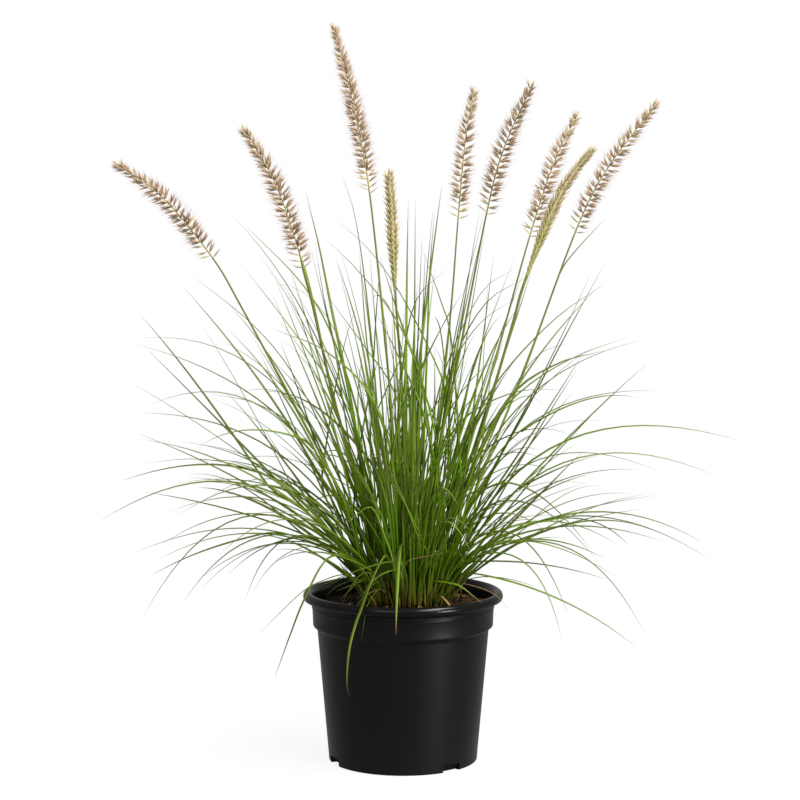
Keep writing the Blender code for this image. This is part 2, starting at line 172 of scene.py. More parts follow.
# How the shoots of each side grow: the breadth of the two traced leaves against
# LEAF_WIDTH, then of the lesser leaves their spread in degrees and their number, and
# the number of thin leaves that leave all these part way up.
SHOOT_HABITS = {
    "left": (1.0, 12, 2, 2),
    "right": (1.0, 12, 2, 2),
    "front": (1.15, 24, 10, 6),
    "back": (1.1, 24, 10, 6),
    "upright": (0.92, 90, 3, 2),
}

# Traced leaves with a width of their own, by shoot and by leaf, 0 for the upper one.
OWN_WIDTHS = {
    ("left_shoot_3", 0): 4.2 * MM,
    ("left_shoot_5", 1): 4.6 * MM,
    ("right_shoot_3", 0): 2.8 * MM,
    ("right_shoot_3", 1): 2.6 * MM,
    ("right_shoot_7", 1): 3.8 * MM,
}

# More leaves that arch out between the shoots: heading, reach of the foot,
# (middle reach, middle height, tip reach, tip height), width.
SIDE_LEAF_BREADTH = 1.02  # how broad they are against that width
SIDE_LEAVES = {
    "side_leaves_left": (
        (176, 40, (147, 427, 303, 484), 2.6),
        (168, 40, (122, 396, 224, 480), 2.6),
        (186, 44, (152, 400, 292, 412), 2.0),
        (158, 44, (112, 388, 214, 415), 1.6),
        (195, 44, (118, 348, 231, 425), 1.8),
        (202, 46, (175, 330, 308, 382), 2.6),
        (172, 46, (165, 325, 305, 336), 2.2),
        (208, 46, (150, 322, 280, 303), 2.6),
        (160, 48, (140, 312, 256, 287), 2.2),
        (148, 48, (165, 297, 328, 296), 2.2),
        (216, 48, (150, 290, 250, 262), 2.4),
        (182, 50, (168, 262, 285, 232), 2.4),
        (155, 50, (165, 240, 270, 178), 2.2),
        (222, 50, (150, 262, 225, 222), 2.2),
        (176, 20, (95, 465, 200, 624), 2.8),
        (190, 22, (80, 420, 168, 580), 2.8),
        (184, 24, (85, 410, 133, 566), 4.0),
        (172, 24, (95, 390, 155, 532), 2.6),
        (198, 26, (85, 400, 156, 514), 2.4),
        (162, 26, (85, 395, 155, 482), 2.2),
        (150, 22, (85, 470, 181, 543), 1.8),
    ),
    "side_leaves_right": (
        (340, 50, (110, 325, 216, 256), 3.6),
        (328, 50, (130, 310, 245, 250), 2.6),
        (352, 46, (140, 345, 285, 338), 2.6),
        (6, 50, (150, 271, 288, 301), 2.2),
        (18, 48, (120, 275, 222, 311), 1.8),
        (346, 50, (130, 258, 240, 222), 2.6),
        (12, 40, (112, 372, 222, 474), 2.2),
        (356, 40, (118, 398, 264, 484), 2.4),
        (334, 48, (108, 300, 186, 290), 2.2),
        (24, 44, (130, 350, 250, 380), 1.8),
    ),
}

# Leaves that hang over the rim: heading, the route's points, width.
RIM_LEAVES = (
    (246, ((36, 218), (58, 242), (78, 234), (102, 216), (120, 197), (138, 180), (153, 160), (160, 139),
           (162, 118), (156, 104)), 5.6),
    (220, ((54, 210), (82, 240), (117, 243), (148, 202), (168, 165), (190, 121)), 4.6),
    (264, ((48, 220), (58, 256), (76, 252), (94, 234), (109, 210), (118, 190), (121, 178), (122, 167)), 5.6),
)
# The rim leaves' shade, picked with a bright step and clear of the painted shade low on the duller strands:
# part of their painted light.
RIM_LEAF_TINT = 2.5 / TINTS

# Thin leaves low in the clump: heading, points, width, and whether it is dry.
LOW_LEAVES = (
    (246, ((50, 204), (62, 214), (105, 199), (117, 180), (124, 160)), 1.6, False),
    (240, ((50, 200), (62, 206), (92, 204), (108, 198), (118, 187)), 1.1, True),
    (205, ((54, 206), (78, 219), (109, 213), (129, 204), (157, 182), (184, 159)), 1.6, False),
    (203, ((20, 190), (30, 230), (62, 214), (86, 206), (100, 196)), 2.8, False),
    (225, ((52, 206), (72, 217), (91, 207), (106, 198)), 2.0, False),
    (232, ((30, 200), (50, 212), (74, 206), (92, 198)), 2.2, False),
    (214, ((26, 196), (44, 214), (70, 210), (96, 204)), 1.8, False),
    (192, ((30, 200), (60, 216), (88, 206), (100, 198)), 2.0, False),
    (305, ((12, 188), (20, 202), (33, 209), (57, 213), (84, 215), (105, 214), (142, 202)), 3.2, False),
    (335, ((50, 198), (58, 207), (80, 207), (108, 199), (126, 183)), 1.0, True),
    (350, ((46, 192), (64, 207), (84, 213), (107, 213), (130, 209), (150, 203)), 2.0, False),
)

# Bent leaves in front of the clump's foot: the points (x, y, height) that each
# passes, its width, and whether it is dry; all in millimetres.
LOOSE_LEAVES = (
    (((4, -44, 192), (2, -62, 226), (-10, -78, 241), (-48, -84, 233), (-82, -76, 218), (-101, -52, 206)),
     3.0, False),
    (((0, -50, 200), (-4, -68, 227), (-15, -82, 231), (-32, -88, 222), (-46, -92, 200), (-49, -93, 189)),
     2.6, False),
    (((-6, -50, 195), (-12, -80, 242), (-20, -94, 270), (-34, -102, 305), (-51, -106, 298), (-70, -108, 284)),
     3.0, False),
    (((-20, -34, 195), (-36, -54, 222), (-46, -64, 225), (-59, -70, 210), (-69, -74, 192)), 2.4, False),
    (((2, -74, 237), (8, -82, 244), (24, -84, 248), (46, -82, 252)), 1.6, True),
    (((26, -40, 192), (36, -62, 262), (44, -74, 287), (62, -80, 288), (86, -78, 264)), 2.6, False),
)

# Flower stems: heading, the stem's points up to the plume's foot, then the
# plume's points up to its tip, the spikelets' reach, and the stalk's radius
# under the plume.
FLOWER_STEMS = (
    (184, ((27, 210), (105, 365), (186, 518)), ((220, 577), (274, 643), (329, 684)), 16.2, 0.9),
    (165, ((41, 210), (58, 310), (90, 424)), ((119, 549), (154, 654), (196, 724)), 17.2, 2.4),
    (125, ((12, 210), (24, 330), (39, 447)), ((76, 648), (110, 752), (151, 845)), 15.5, 1.0),
    (250, ((8, 210), (10, 320), (18, 427)), ((40, 538), (51, 623), (61, 676)), 7.5, 1.3),
    (40, ((30, 210), (44, 360), (65, 512)), ((76, 619), (87, 710), (101, 770)), 15.0, 0.8),
    (323, ((9, 210), (38, 335), (72, 470)), ((109, 628), (131, 697), (170, 770)), 15.5, 0.9),
    (25, ((37, 210), (72, 335), (115, 466)), ((156, 598), (188, 684), (220, 742)), 15.0, 0.9),
    (345, ((42, 210), (78, 350), (121, 500)), ((136, 552), (174, 646), (214, 702)), 7.8, 1.7),
    (5, ((42, 210), (84, 325), (134, 449)), ((192, 606), (228, 677), (285, 752)), 15.0, 0.9),
)
# Unripe plumes: how far the tip tapers, and how far the spikelets stand out.
UNRIPE_PLUMES = {4: (0.34, 1.0), 8: (0.66, 0.8)}
FULL_PLUMES = (1, 2, 3)  # ripe plumes with more spikelets in front of the stalk
LAST_SPIKELETS = 6.0 * MM  # how far the last spikelets reach past a plume's stalk
LAST_SIZE = 0.55  # their length against the plume's reach
STEM_FOOT_RADIUS = 1.5 * MM
STEM_SPANS = 48
STEM_JOINTS = ((0.3, 0.14), (0.62, 0.12))  # how far up a stem, and how long a sheath
JOINT_SWELL = 0.35 * MM
THINNING = 1.8  # how late up a stem its radius changes, where it thins
THICKENING = 9.0  # and where it thickens
RIPE_RACHIS_RADIUS = 0.85 * MM
UNRIPE_RACHIS_RADIUS = 1.5 * MM

# The ripe plumes' whorls: their spacing, the tilt of the spikelets away from the
# stalk and how much less it is at the tip, and their swings to the front or the back
# of a flank: at the plume's foot, on the rest, and over the stalk, all in degrees.
WHORL_SPACING = 6.6 * MM
RIPE_TILT = 66
TIP_TILT_LOSS = 34
FOOT_SWINGS = (-10,)
SWINGS = (-30, 34)
STALK_SWING = -70

# How far up a ripe plume, as shares: its spikelets are bare below the first mark and
# young below the second, and below the third they stand only to the sides.
BARE_MARK = 0.04
YOUNG_MARK = 0.07
SIDES_MARK = 0.1

# A husk: how full it is at some shares of its length, and its depth against its width.
HUSK_SIDES = 6
HUSK_SHAPE = ((0.05, 0.4), (0.22, 0.85), (0.44, 1.0), (0.68, 0.68), (0.88, 0.26))
HUSK_FLATNESS = 0.6

# A ripe spikelet: its husks, of which one of these counts is dealt, their width, the
# angle between two, its bristles, and how far they scatter. At a plume's very foot a
# spikelet is bare, with one narrower husk and fewer bristles.
HUSK_COUNTS = (1, 2, 2)
HUSK_WIDTHS = (1.9 * MM, 2.6 * MM)
HUSK_FAN = 17
BRISTLE_COUNT = 7
BRISTLE_SCATTER = math.radians(18)
BARE_BRISTLE_COUNT = 4
BARE_HUSK_SHARE = 0.7

# The unripe plumes' whorls: their spacing, then for each spikelet the angle round
# the stalk, the tilt away from it, the length and the shift up the stalk, in
# degrees, millimetres and spacings.
UNRIPE_SPACING = 6.4 * MM
UNRIPE_WHORL = (
    (0, 36, 11.0, 0.0),
    (180, 36, 11.0, 0.5),
    (-40, 31, 11.0, 0.25),
    (-140, 31, 11.0, 0.75),
    (40, 31, 11.0, 0.5),
    (140, 31, 11.0, 0.0),
    (-80, 17, 10.0, 0.1),
    (-100, 17, 10.0, 0.6),
    (80, 20, 10.0, 0.35),
    (100, 20, 10.0, 0.85),
)
UNRIPE_REACH = 8  # the reach that these lengths are for
BRISTLED_TILT = 30  # the spikelets that lean out further than this carry bristles

# A leaf that leaves a flower stem high up, by the stem's number: heading, points.
FLAG_LEAVES = {9: (5, ((166, 545), (178, 565), (190, 581), (204, 597), (226, 620)))}

# Leaves that cross between the others, each from its foot's (x, y) through more
# points (x, y, height) to its tip, in millimetres.
CROSSING_FOOT = 184
CROSSING_LEAVES = {
    "crossing_leaves_left": (
        ((45, -20), (42, -24, 300), (33, -28, 390), (0, -36, 493), (-44, -44, 556), (-84, -50, 597)),
        ((30, 10), (14, 14, 320), (-10, 20, 420), (-43, 26, 471), (-77, 30, 518), (-92, 34, 539)),
        ((-14, -10), (-24, -16, 320), (-36, -22, 430), (-43, -26, 500), (-49, -30, 585)),
        ((-10, 12), (-26, 16, 330), (-44, 20, 458), (-57, 24, 513), (-76, 28, 573)),
        ((-40, 8), (-58, 14, 330), (-79, 20, 474), (-90, 24, 525), (-100, 28, 586)),
        ((-38, -12), (-70, -20, 350), (-104, -28, 474), (-123, -32, 528), (-140, -36, 555)),
        ((-40, 20), (-76, 34, 330), (-122, 50, 430), (-173, 66, 494), (-246, 84, 552)),
        ((-20, 26), (-46, 44, 360), (-78, 60, 470), (-116, 74, 540), (-184, 92, 610)),
        ((-24, 30), (-30, 50, 380), (-42, 66, 520), (-56, 80, 620), (-72, 92, 670)),
        ((-30, 22), (-56, 40, 380), (-84, 56, 520), (-98, 64, 590), (-113, 72, 650)),
        ((-6, -30), (-10, -44, 330), (-34, -56, 420), (-84, -66, 474), (-142, -74, 500)),
        ((-36, -22), (-66, -40, 300), (-112, -56, 380), (-160, -70, 416), (-214, -84, 430)),
    ),
    "crossing_leaves_middle": (
        ((-8, -16), (-6, -24, 330), (0, -32, 450), (14, -38, 528), (47, -44, 564)),
        ((66, -10), (64, -14, 330), (54, -18, 480), (42, -22, 528), (20, -28, 590)),
        ((20, -24), (24, -34, 350), (28, -42, 480), (30, -48, 560), (35, -52, 629)),
        ((0, 20), (2, 30, 380), (4, 38, 540), (5, 44, 600), (6, 48, 642)),
        ((-20, -28), (-16, -44, 320), (0, -56, 410), (27, -64, 470), (56, -70, 528)),
        ((44, -30), (40, -48, 300), (24, -62, 400), (-10, -74, 480), (-30, -80, 520)),
        ((36, 16), (34, 24, 320), (20, 34, 430), (-6, 42, 510), (-26, 48, 574)),
        ((-26, 4), (-18, 6, 300), (4, 10, 400), (36, 14, 480), (70, 18, 540)),
        ((10, -36), (18, -60, 290), (34, -84, 360), (56, -104, 390), (88, -122, 396)),
        ((-14, -36), (-26, -62, 280), (-48, -86, 340), (-78, -106, 364), (-112, -122, 356)),
    ),
    "crossing_leaves_right": (
        ((20, 0), (30, 4, 350), (46, 10, 440), (88, 16, 534), (128, 20, 563)),
        ((30, -14), (40, -22, 370), (62, -30, 470), (94, -36, 528), (134, -42, 554)),
        ((24, 20), (38, 30, 360), (58, 38, 450), (90, 44, 500), (128, 50, 526)),
        ((46, 14), (60, 22, 340), (78, 30, 440), (98, 36, 490), (112, 40, 508)),
        ((38, 10), (66, 22, 340), (104, 36, 424), (171, 52, 499), (236, 66, 545)),
        ((50, 18), (96, 34, 310), (147, 50, 404), (186, 62, 478), (233, 76, 564)),
        ((40, -18), (76, -32, 330), (118, -46, 420), (170, -58, 460), (224, -66, 476)),
        ((46, -6), (84, -10, 330), (126, -16, 430), (156, -20, 470), (184, -24, 480)),
        ((34, 6), (48, 12, 330), (60, 18, 450), (76, 22, 560), (87, 26, 629)),
        ((38, -8), (52, -14, 340), (68, -18, 460), (82, -22, 550), (92, -24, 611)),
        ((52, 4), (70, 6, 320), (86, 10, 440), (96, 12, 520), (103, 14, 578)),
        ((8, -32), (20, -54, 300), (60, -74, 392), (118, -88, 430), (172, -98, 436)),
    ),
}

# How far up a plume its lowest spikelets stand, as a share of the plume, where
# its sheathed stalk is longer than most.
BARE_FOOT = {2: 0.07, 8: 0.02}

# Stalks with a tint above the middle one are young and yellow-green.
RIPE_TINT = 0.5
YOUNG_TINT = 0.7
FRESH_TINT = 0.9

UNRIPE_CORE = 0.38  # an unripe plume's core against its spikelets' reach

# The material slots of a plume, and of the leaves on a flower stem.
HUSK_SLOT, BRISTLE_SLOT, RACHIS_SLOT = range(3)
STEM_LEAF_SLOT = 1


# ------------------------------------------------------------------ routes


def place(heading, reach, height):
    """The point at this reach and height in the heading's upright plane."""
    angle = math.radians(heading)
    return Vector((CROWN_X + reach * math.cos(angle), reach * math.sin(angle), height))


def table_points(heading, points):
    return [place(heading, reach * MM, height * MM) for reach, height in points]


def in_metres(points):
    return [Vector(point) * MM for point in points]


def level_way(angle):
    """The level direction at this angle, in radians."""
    return Vector((math.cos(angle), math.sin(angle), 0.0))


def crosswise(run):
    """A level run turned a quarter to its left."""
    return Vector((-run.y, run.x, 0.0))


def run_heading(run):
    return math.degrees(math.atan2(run.y, run.x))


def level_side(heading):
    """The level direction square to the heading's plane, with a leaf's upper face on top."""
    angle = math.radians(heading)
    return Vector((-math.sin(angle), math.cos(angle), 0.0))


def even_route(points, spans):
    """The same route with its points an equal length apart."""
    marks = [0.0]
    for a, b in zip(points, points[1:]):
        marks.append(marks[-1] + (b - a).length)
    route = []
    i = 0
    for step in range(spans + 1):
        mark = marks[-1] * step / spans
        while i < len(points) - 2 and marks[i + 1] < mark:
            i += 1
        share = (mark - marks[i]) / (marks[i + 1] - marks[i])
        route.append(points[i].lerp(points[i + 1], min(share, 1.0)))
    return route


def smooth_route(points, spans):
    """Points on a smooth curve through the given ones, evenly spread."""
    first = points[0] * 2 - points[1]
    last = points[-1] * 2 - points[-2]
    padded = [first, *points, last]
    fine = []
    for i in range(len(points) - 1):
        a, b, c, d = padded[i:i + 4]
        for step in range(16):
            t = step / 16
            bend = (a * 2 - b * 5 + c * 4 - d) * t * t + (b * 3 - a - c * 3 + d) * t ** 3
            fine.append((b * 2 + (c - a) * t + bend) / 2)
    fine.append(points[-1])
    return even_route(fine, spans)


def route_length(points):
    return sum((b - a).length for a, b in zip(points, points[1:]))


def eased(points, passes):
    """A route with its bends softened and its ends kept."""
    for _ in range(passes):
        inner = [(a + b * 2 + c) / 4 for a, b, c in zip(points, points[1:], points[2:])]
        points = [points[0], *inner, points[-1]]
    return points


def tangents(route):
    """The direction of travel at each point of a route."""
    ends = [route[0], *route, route[-1]]
    return [(after - before).normalized() for before, after in zip(ends, ends[2:])]


def traced_leaf(heading, foot_reach, leaf):
    """The route of a traced leaf: up its sheath, then over its arch to the tip."""
    foot = place(heading, foot_reach * SHOOT_FOOT, FOOT_HEIGHT)
    throat = place(heading, foot_reach, THROAT_HEIGHT)
    middle = place(heading, leaf[0] * MM, leaf[1] * MM)
    tip = place(heading, leaf[2] * MM, leaf[3] * MM)
    crest = middle * 2 - (throat + tip) / 2
    points = [foot, foot.lerp(throat, 0.5)]
    steps = 32
    for step in range(steps + 1):
        t = step / steps
        points.append(throat * (1 - t) ** 2 + crest * 2 * t * (1 - t) + tip * t * t)
    return even_route(eased(even_route(points, 64), 12), LEAF_SPANS)


def walked(point, length, steps, run_at):
    """A leaf's route from a point, with its direction at each share of its length."""
    points = [point]
    for i in range(steps):
        point = point + run_at((i + 0.5) / steps) * (length / steps)
        points.append(point)
    return even_route(points, LEAF_SPANS)


def arching_leaf(heading, foot_reach, lean, droop, length, drift):
    """The route of a leaf that leaves the soil at a lean and droops to its tip.

    lean and droop are angles from the upright in radians, and drift is how far
    the heading turns by the tip.
    """
    sheath = 0.12

    def run_at(t):
        straight = min(t / sheath, 1.0)
        angle = lean * (0.35 + 0.65 * straight) + droop * max(0.0, t - sheath) ** 1.7
        out = level_way(math.radians(heading + drift * t * t))
        return out * math.sin(angle) + UP * math.cos(angle)

    return walked(place(heading, foot_reach, FOOT_HEIGHT), length, 40, run_at)


def branching_leaf(parent, share, turn, lean, droop, length):
    """The route of a leaf that leaves a parent's route part way up.

    It bears away from the parent by the lean, on the side given by turn, and
    then droops.
    """
    at = min(int(share * (len(parent) - 1)), len(parent) - 2)
    stalk = (parent[at + 1] - parent[at]).normalized()
    aside = Matrix.Rotation(turn, 3, stalk) @ stalk.orthogonal().normalized()

    def run_at(t):
        away = lean * smoothstep(0.0, 0.16, t)
        run = stalk * math.cos(away) + aside * math.sin(away) - UP * droop * t ** 1.6
        return run.normalized()

    return walked(parent[at], length, 30, run_at)


def fits(route):
    """Is a route inside the box that the solids fill, and clear of the pot?"""
    low, high = cad_box
    for point in route:
        if not all(low[i] <= point[i] <= high[i] for i in range(3)):
            return False
        if point.z < POT_TOP + 4 * MM and math.hypot(point.x, point.y) > SOIL_RADIUS - 10 * MM:
            return False
    return True


# ------------------------------------------------------------------ meshes


class Skin:
    """Gathers the strands of one piece, with the readings that its materials use.

    A point's readings are its tint (the shade its strand was dealt), along (0
    at the strand's foot, 1 at its tip) and across (-1 to 1 over its width).
    """

    def __init__(self):
        self.points = []
        self.readings = []
        self.faces = []
        self.slots = []

    def add_point(self, spot, tint, along, across):
        self.points.append(spot)
        self.readings.append((tint, along, across))
        return len(self.points) - 1

    def add_ring(self, spots, tint, along, spread):
        return [self.add_point(spot, tint, along, across) for spot, across in zip(spots, spread)]

    def add_round(self, centre, side, other, radius, sides, tint, along):
        """A round ring in the plane of two directions, flattened where one is short."""
        angles = [math.tau * i / sides for i in range(sides)]
        spots = [centre + (side * math.cos(a) + other * math.sin(a)) * radius for a in angles]
        return self.add_ring(spots, tint, along, [math.cos(a) for a in angles])

    def add_face(self, corners, slot):
        self.faces.append(corners)
        self.slots.append(slot)

    def wrap(self, lower, upper, slot=0):
        for i, corner in enumerate(lower):
            after = (i + 1) % len(lower)
            self.add_face((corner, lower[after], upper[after], upper[i]), slot)

    def close_tip(self, ring, tip, slot=0):
        for i, corner in enumerate(ring):
            self.add_face((corner, ring[(i + 1) % len(ring)], tip), slot)

    def close_foot(self, ring, foot, slot=0):
        for i, corner in enumerate(ring):
            self.add_face((ring[(i + 1) % len(ring)], corner, foot), slot)

    def loft(self, rings, ends, tint, alongs, slot=0):
        """Skin a strand over its rings, closed by a point at its foot and at its tip."""
        for lower, upper in zip(rings, rings[1:]):
            self.wrap(lower, upper, slot)
        foot, tip = [self.add_point(end, tint, along, 0.0) for end, along in zip(ends, alongs)]
        self.close_foot(rings[0], foot, slot)
        self.close_tip(rings[-1], tip, slot)

    def piece(self, name, materials):
        """The strands as one smooth mesh that wears these materials."""
        mesh = bpy.data.meshes.new(name)
        mesh.from_pydata([tuple(point) for point in self.points], [], self.faces)
        for index, label in enumerate(("tint", "along", "across")):
            layer = mesh.attributes.new(label, "FLOAT", "POINT")
            layer.data.foreach_set("value", [reading[index] for reading in self.readings])
        sheet = mesh.uv_layers.new(name="OFBake")
        places = []
        for loop in mesh.loops:
            tint, along, across = self.readings[loop.vertex_index]
            places.extend((tint + across * 0.42 / TINTS, 0.02 + 0.96 * along))
        sheet.uv.foreach_set("vector", places)
        for material in materials:
            mesh.materials.append(material)
        mesh.polygons.foreach_set("material_index", self.slots)
        mesh.shade_smooth()
        mesh.update()
        return add_piece(name, mesh)


def add_piece(name, data):
    """A new object of this mesh, camera or lamp, in the scene."""
    piece = bpy.data.objects.new(name, data)
    bpy.context.scene.collection.objects.link(piece)
    return piece


def settle(piece, slot, *nodes):
    """Attach a piece to the root body, and hide the solids that it stands for. slot is not used."""
    if nodes:
        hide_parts(*nodes)
    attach(piece, "root")


def dealt_tint(dice, lowest=0.0, highest=1.0):
    """One of the piece's shades, between two shares of the range."""
    step = int((lowest + (highest - lowest) * dice.random()) * TINTS)
    return (min(step, TINTS - 1) + 0.5) / TINTS


def swayed(dice, roll, twist):
    """A blade's tint, its roll and its twist, the last two up to these, in radians."""
    return dealt_tint(dice), dice.uniform(-roll, roll), dice.uniform(-twist, twist)


def smoothstep(low, high, value):
    t = min(max((value - low) / (high - low), 0.0), 1.0)
    return t * t * (3 - 2 * t)


def blade(skin, route, heading, width, tint, roll, twist, sheath=SHEATH_SHARE, stalk=SHEATH_HALF,
          slot=0, start=0.0):
    """A grass leaf: a round sheath that opens into a channelled, tapering blade.

    start is how far along its readings begin, above 0 where it leaves another
    leaf part way up.
    """
    last = len(route) - 1
    side = level_side(heading)
    rings = []
    for i, (point, direction) in enumerate(zip(route, tangents(route))):
        t = i / last
        opened = smoothstep(sheath, sheath + OPENING, t)
        run = max(0.0, (t - sheath) / (1 - sheath))
        taper = (1 - run ** 2.6) * (0.82 + 0.18 * min(1.0, 6 * run)) + 0.04
        half = stalk + (width / 2 * taper - stalk) * opened
        thick = stalk + (BLADE_HALF_THICKNESS * taper - stalk) * opened
        side = (side - direction * side.dot(direction)).normalized()
        turn = Matrix.Rotation((roll + twist * t) * opened, 3, direction)
        edge = turn @ side
        upper = direction.cross(edge)
        lift = upper * half * FOLD * opened
        spots = (
            point + edge * half + lift,
            point + upper * thick,
            point - edge * half + lift,
            point - upper * thick,
        )
        rings.append(skin.add_ring(spots, tint, start + (1 - start) * t, (1.0, 0.0, -1.0, 0.0)))
    ends = (route[0] - UP * 0.5 * MM, route[-1] + (route[-1] - route[-2]) * 0.15)
    skin.loft(rings, ends, tint, (start, 1.0), slot)


def tube(skin, route, radii, sides, tint, slot=0, squash=1.0, alongs=(0.0, 1.0)):
    """A round strand along a route, closed at both ends."""
    directions = tangents(route)
    side = directions[0].orthogonal().normalized()
    last = len(route) - 1
    rings = []
    for i, (point, direction, radius) in enumerate(zip(route, directions, radii)):
        side = (side - direction * side.dot(direction)).normalized()
        other = direction.cross(side) * squash
        along = alongs[0] + (alongs[1] - alongs[0]) * i / last
        rings.append(skin.add_round(point, side, other, radius, sides, tint, along))
    ends = (route[0] - directions[0] * radii[0] * 0.5, route[-1] + directions[-1] * radii[-1] * 0.8)
    skin.loft(rings, ends, tint, alongs, slot)


# --------------------------------------------------------------- materials


def tone(colour):
    """A screen colour, 0 to 255, as the linear one that a shader takes.

    A socket is left as it is.
    """
    if isinstance(colour, bpy.types.NodeSocket):
        return colour
    linear = []
    for value in colour:
        share = value / 255
        linear.append(share / 12.92 if share <= 0.04045 else ((share + 0.055) / 1.055) ** 2.4)
    return (*linear, 1.0)


def add_node(tree, kind, **inputs):
    """A shader node whose inputs are set, or linked where a socket is given."""
    node = tree.nodes.new("ShaderNode" + kind)
    for name, value in inputs.items():
        feed(tree, node.inputs[name.replace("_", " ")], value)
    return node


def feed(tree, socket, value):
    if isinstance(value, bpy.types.NodeSocket):
        tree.links.new(value, socket)
    else:
        socket.default_value = value


def sums(tree, operation, first, second=0.0):
    """The result of a sum of this kind on one or two values."""
    node = tree.nodes.new("ShaderNodeMath")
    node.operation = operation
    feed(tree, node.inputs[0], first)
    feed(tree, node.inputs[1], second)
    return node.outputs[0]


def times(tree, first, second):
    return sums(tree, "MULTIPLY", first, second)


def ranged(tree, value, low, high, to_low=0.0, to_high=1.0, smooth=True):
    """A value mapped from one range to another."""
    node = add_node(tree, "MapRange", Value=value, From_Min=low, From_Max=high,
                    To_Min=to_low, To_Max=to_high)
    if smooth:
        node.interpolation_type = "SMOOTHSTEP"
    return node.outputs["Result"]


def spread_over(tree, value, to_low, to_high):
    """A value of 0 to 1 as one between these two."""
    return ranged(tree, value, 0.0, 1.0, to_low, to_high, False)


def mixed(tree, factor, first, second):
    """Two colours mixed, each a screen colour or a socket."""
    node = tree.nodes.new("ShaderNodeMix")
    node.data_type = "RGBA"
    for index, value in ((0, factor), (6, tone(first)), (7, tone(second))):
        feed(tree, node.inputs[index], value)
    return node.outputs[2]


def ramp(tree, factor, stops):
    """A colour ramp through (position, screen colour) stops."""
    node = add_node(tree, "ValToRGB", Fac=factor)
    elements = node.color_ramp.elements
    while len(elements) < len(stops):
        elements.new(0.5)
    for element, (position, colour) in zip(elements, stops):
        element.position = position
        element.color = tone(colour)
    return node.outputs["Color"]


def noise_value(tree, vector, scale, detail=2.0, roughness=0.5):
    node = add_node(tree, "TexNoise", Vector=vector, Scale=scale, Detail=detail, Roughness=roughness)
    return node.outputs["Fac"]


def object_spot(tree):
    return tree.nodes.new("ShaderNodeTexCoord").outputs["Object"]


def reading(tree, name):
    """One of the readings that a strand's points carry."""
    node = tree.nodes.new("ShaderNodeAttribute")
    node.attribute_name = name
    return node.outputs["Fac"]


def new_material(name, roughness, specular):
    material = bpy.data.materials.new(name)
    material.use_nodes = True
    tree = material.node_tree
    shader = tree.nodes["Principled BSDF"]
    shader.inputs["Roughness"].default_value = roughness
    shader.inputs["Specular IOR Level"].default_value = specular
    return material, tree, shader


def new_group(name, inputs, outputs):
    """An empty shader group with named float inputs and outputs."""
    group = bpy.data.node_groups.new(name, "ShaderNodeTree")
    for label, value in inputs.items():
        socket = group.interface.new_socket(label, in_out="INPUT", socket_type="NodeSocketFloat")
        socket.default_value = value
    for label in outputs:
        group.interface.new_socket(label, in_out="OUTPUT", socket_type="NodeSocketFloat")
    entry = group.nodes.new("NodeGroupInput")
    way_out = group.nodes.new("NodeGroupOutput")
    return group, entry.outputs, way_out.inputs


def use_group(tree, group, **inputs):
    node = tree.nodes.new("ShaderNodeGroup")
    node.node_tree = group
    for name, value in inputs.items():
        feed(tree, node.inputs[name.replace("_", " ")], value)
    return node.outputs


def plant_fibre_group():
    """Fine lines that run along a leaf, a stem or a husk."""
    inputs = {"Lines": 6.0, "Breaks": 4.0}
    group, entry, way_out = new_group("plant_fibre", inputs, ("Shade", "Height"))
    across = times(group, reading(group, "across"), entry["Lines"])
    along = times(group, reading(group, "along"), entry["Breaks"])
    strand = times(group, reading(group, "tint"), 61.0)
    vector = add_node(group, "CombineXYZ", X=across, Y=along, Z=strand).outputs[0]
    lines = noise_value(group, vector, 1.0, 3.0, 0.6)
    group.links.new(ranged(group, lines, 0.3, 0.7), way_out["Shade"])
    group.links.new(lines, way_out["Height"])
    return group


def dry_end_group():
    """Where a strand has dried from its tip, on the share of strands that have."""
    inputs = {"Share": 0.2, "Start": 0.85, "Softness": 0.1}
    group, entry, way_out = new_group("dry_end", inputs, ("Mask",))
    along = reading(group, "along")
    tint = reading(group, "tint")
    waver = add_node(group, "CombineXYZ", X=reading(group, "across"), Y=along, Z=tint).outputs[0]
    ragged = ranged(group, noise_value(group, waver, 9.0), 0.3, 0.7, -0.04, 0.04, False)
    finish = sums(group, "ADD", entry["Start"], entry["Softness"])
    reached = ranged(group, sums(group, "ADD", along, ragged), entry["Start"], finish)
    chosen = sums(group, "LESS_THAN", tint, entry["Share"])
    group.links.new(times(group, reached, chosen), way_out["Mask"])
    return group


def grime_group():
    """Patches of dust or of darker matter, for the pot, the soil and what lies on it."""
    inputs = {"Scale": 40.0, "Cover": 0.5, "Softness": 0.2}
    group, entry, way_out = new_group("grime", inputs, ("Mask", "Grain"))
    spot = object_spot(group)
    cloud = noise_value(group, spot, entry["Scale"], 5.0, 0.65)
    edge = sums(group, "SUBTRACT", 1.0, entry["Cover"])
    finish = sums(group, "ADD", edge, entry["Softness"])
    group.links.new(ranged(group, cloud, edge, finish), way_out["Mask"])
    fine = times(group, entry["Scale"], 9.0)
    group.links.new(noise_value(group, spot, fine, 3.0), way_out["Grain"])
    return group


PLANT_FIBRE = plant_fibre_group()
DRY_END = dry_end_group()
GRIME = grime_group()


def coated(material, colour, height=None, strength=0.25, distance=0.2 * MM):
    """The material in this colour, bumped where a height is given."""
    tree = material.node_tree
    shader = tree.nodes["Principled BSDF"]
    tree.links.new(colour, shader.inputs["Base Color"])
    if height is not None:
        bump = add_node(tree, "Bump", Height=height, Strength=strength, Distance=distance)
        tree.links.new(bump.outputs["Normal"], shader.inputs["Normal"])
    return material


def shifted(tree, colour, hue, value):
    node = add_node(tree, "HueSaturation", Color=colour, Hue=hue, Value=value)
    return node.outputs["Color"]


def stepped_tint(tree, steps):
    """A second shade for each strand, out of step with its tint."""
    return sums(tree, "FRACT", times(tree, reading(tree, "tint"), steps))


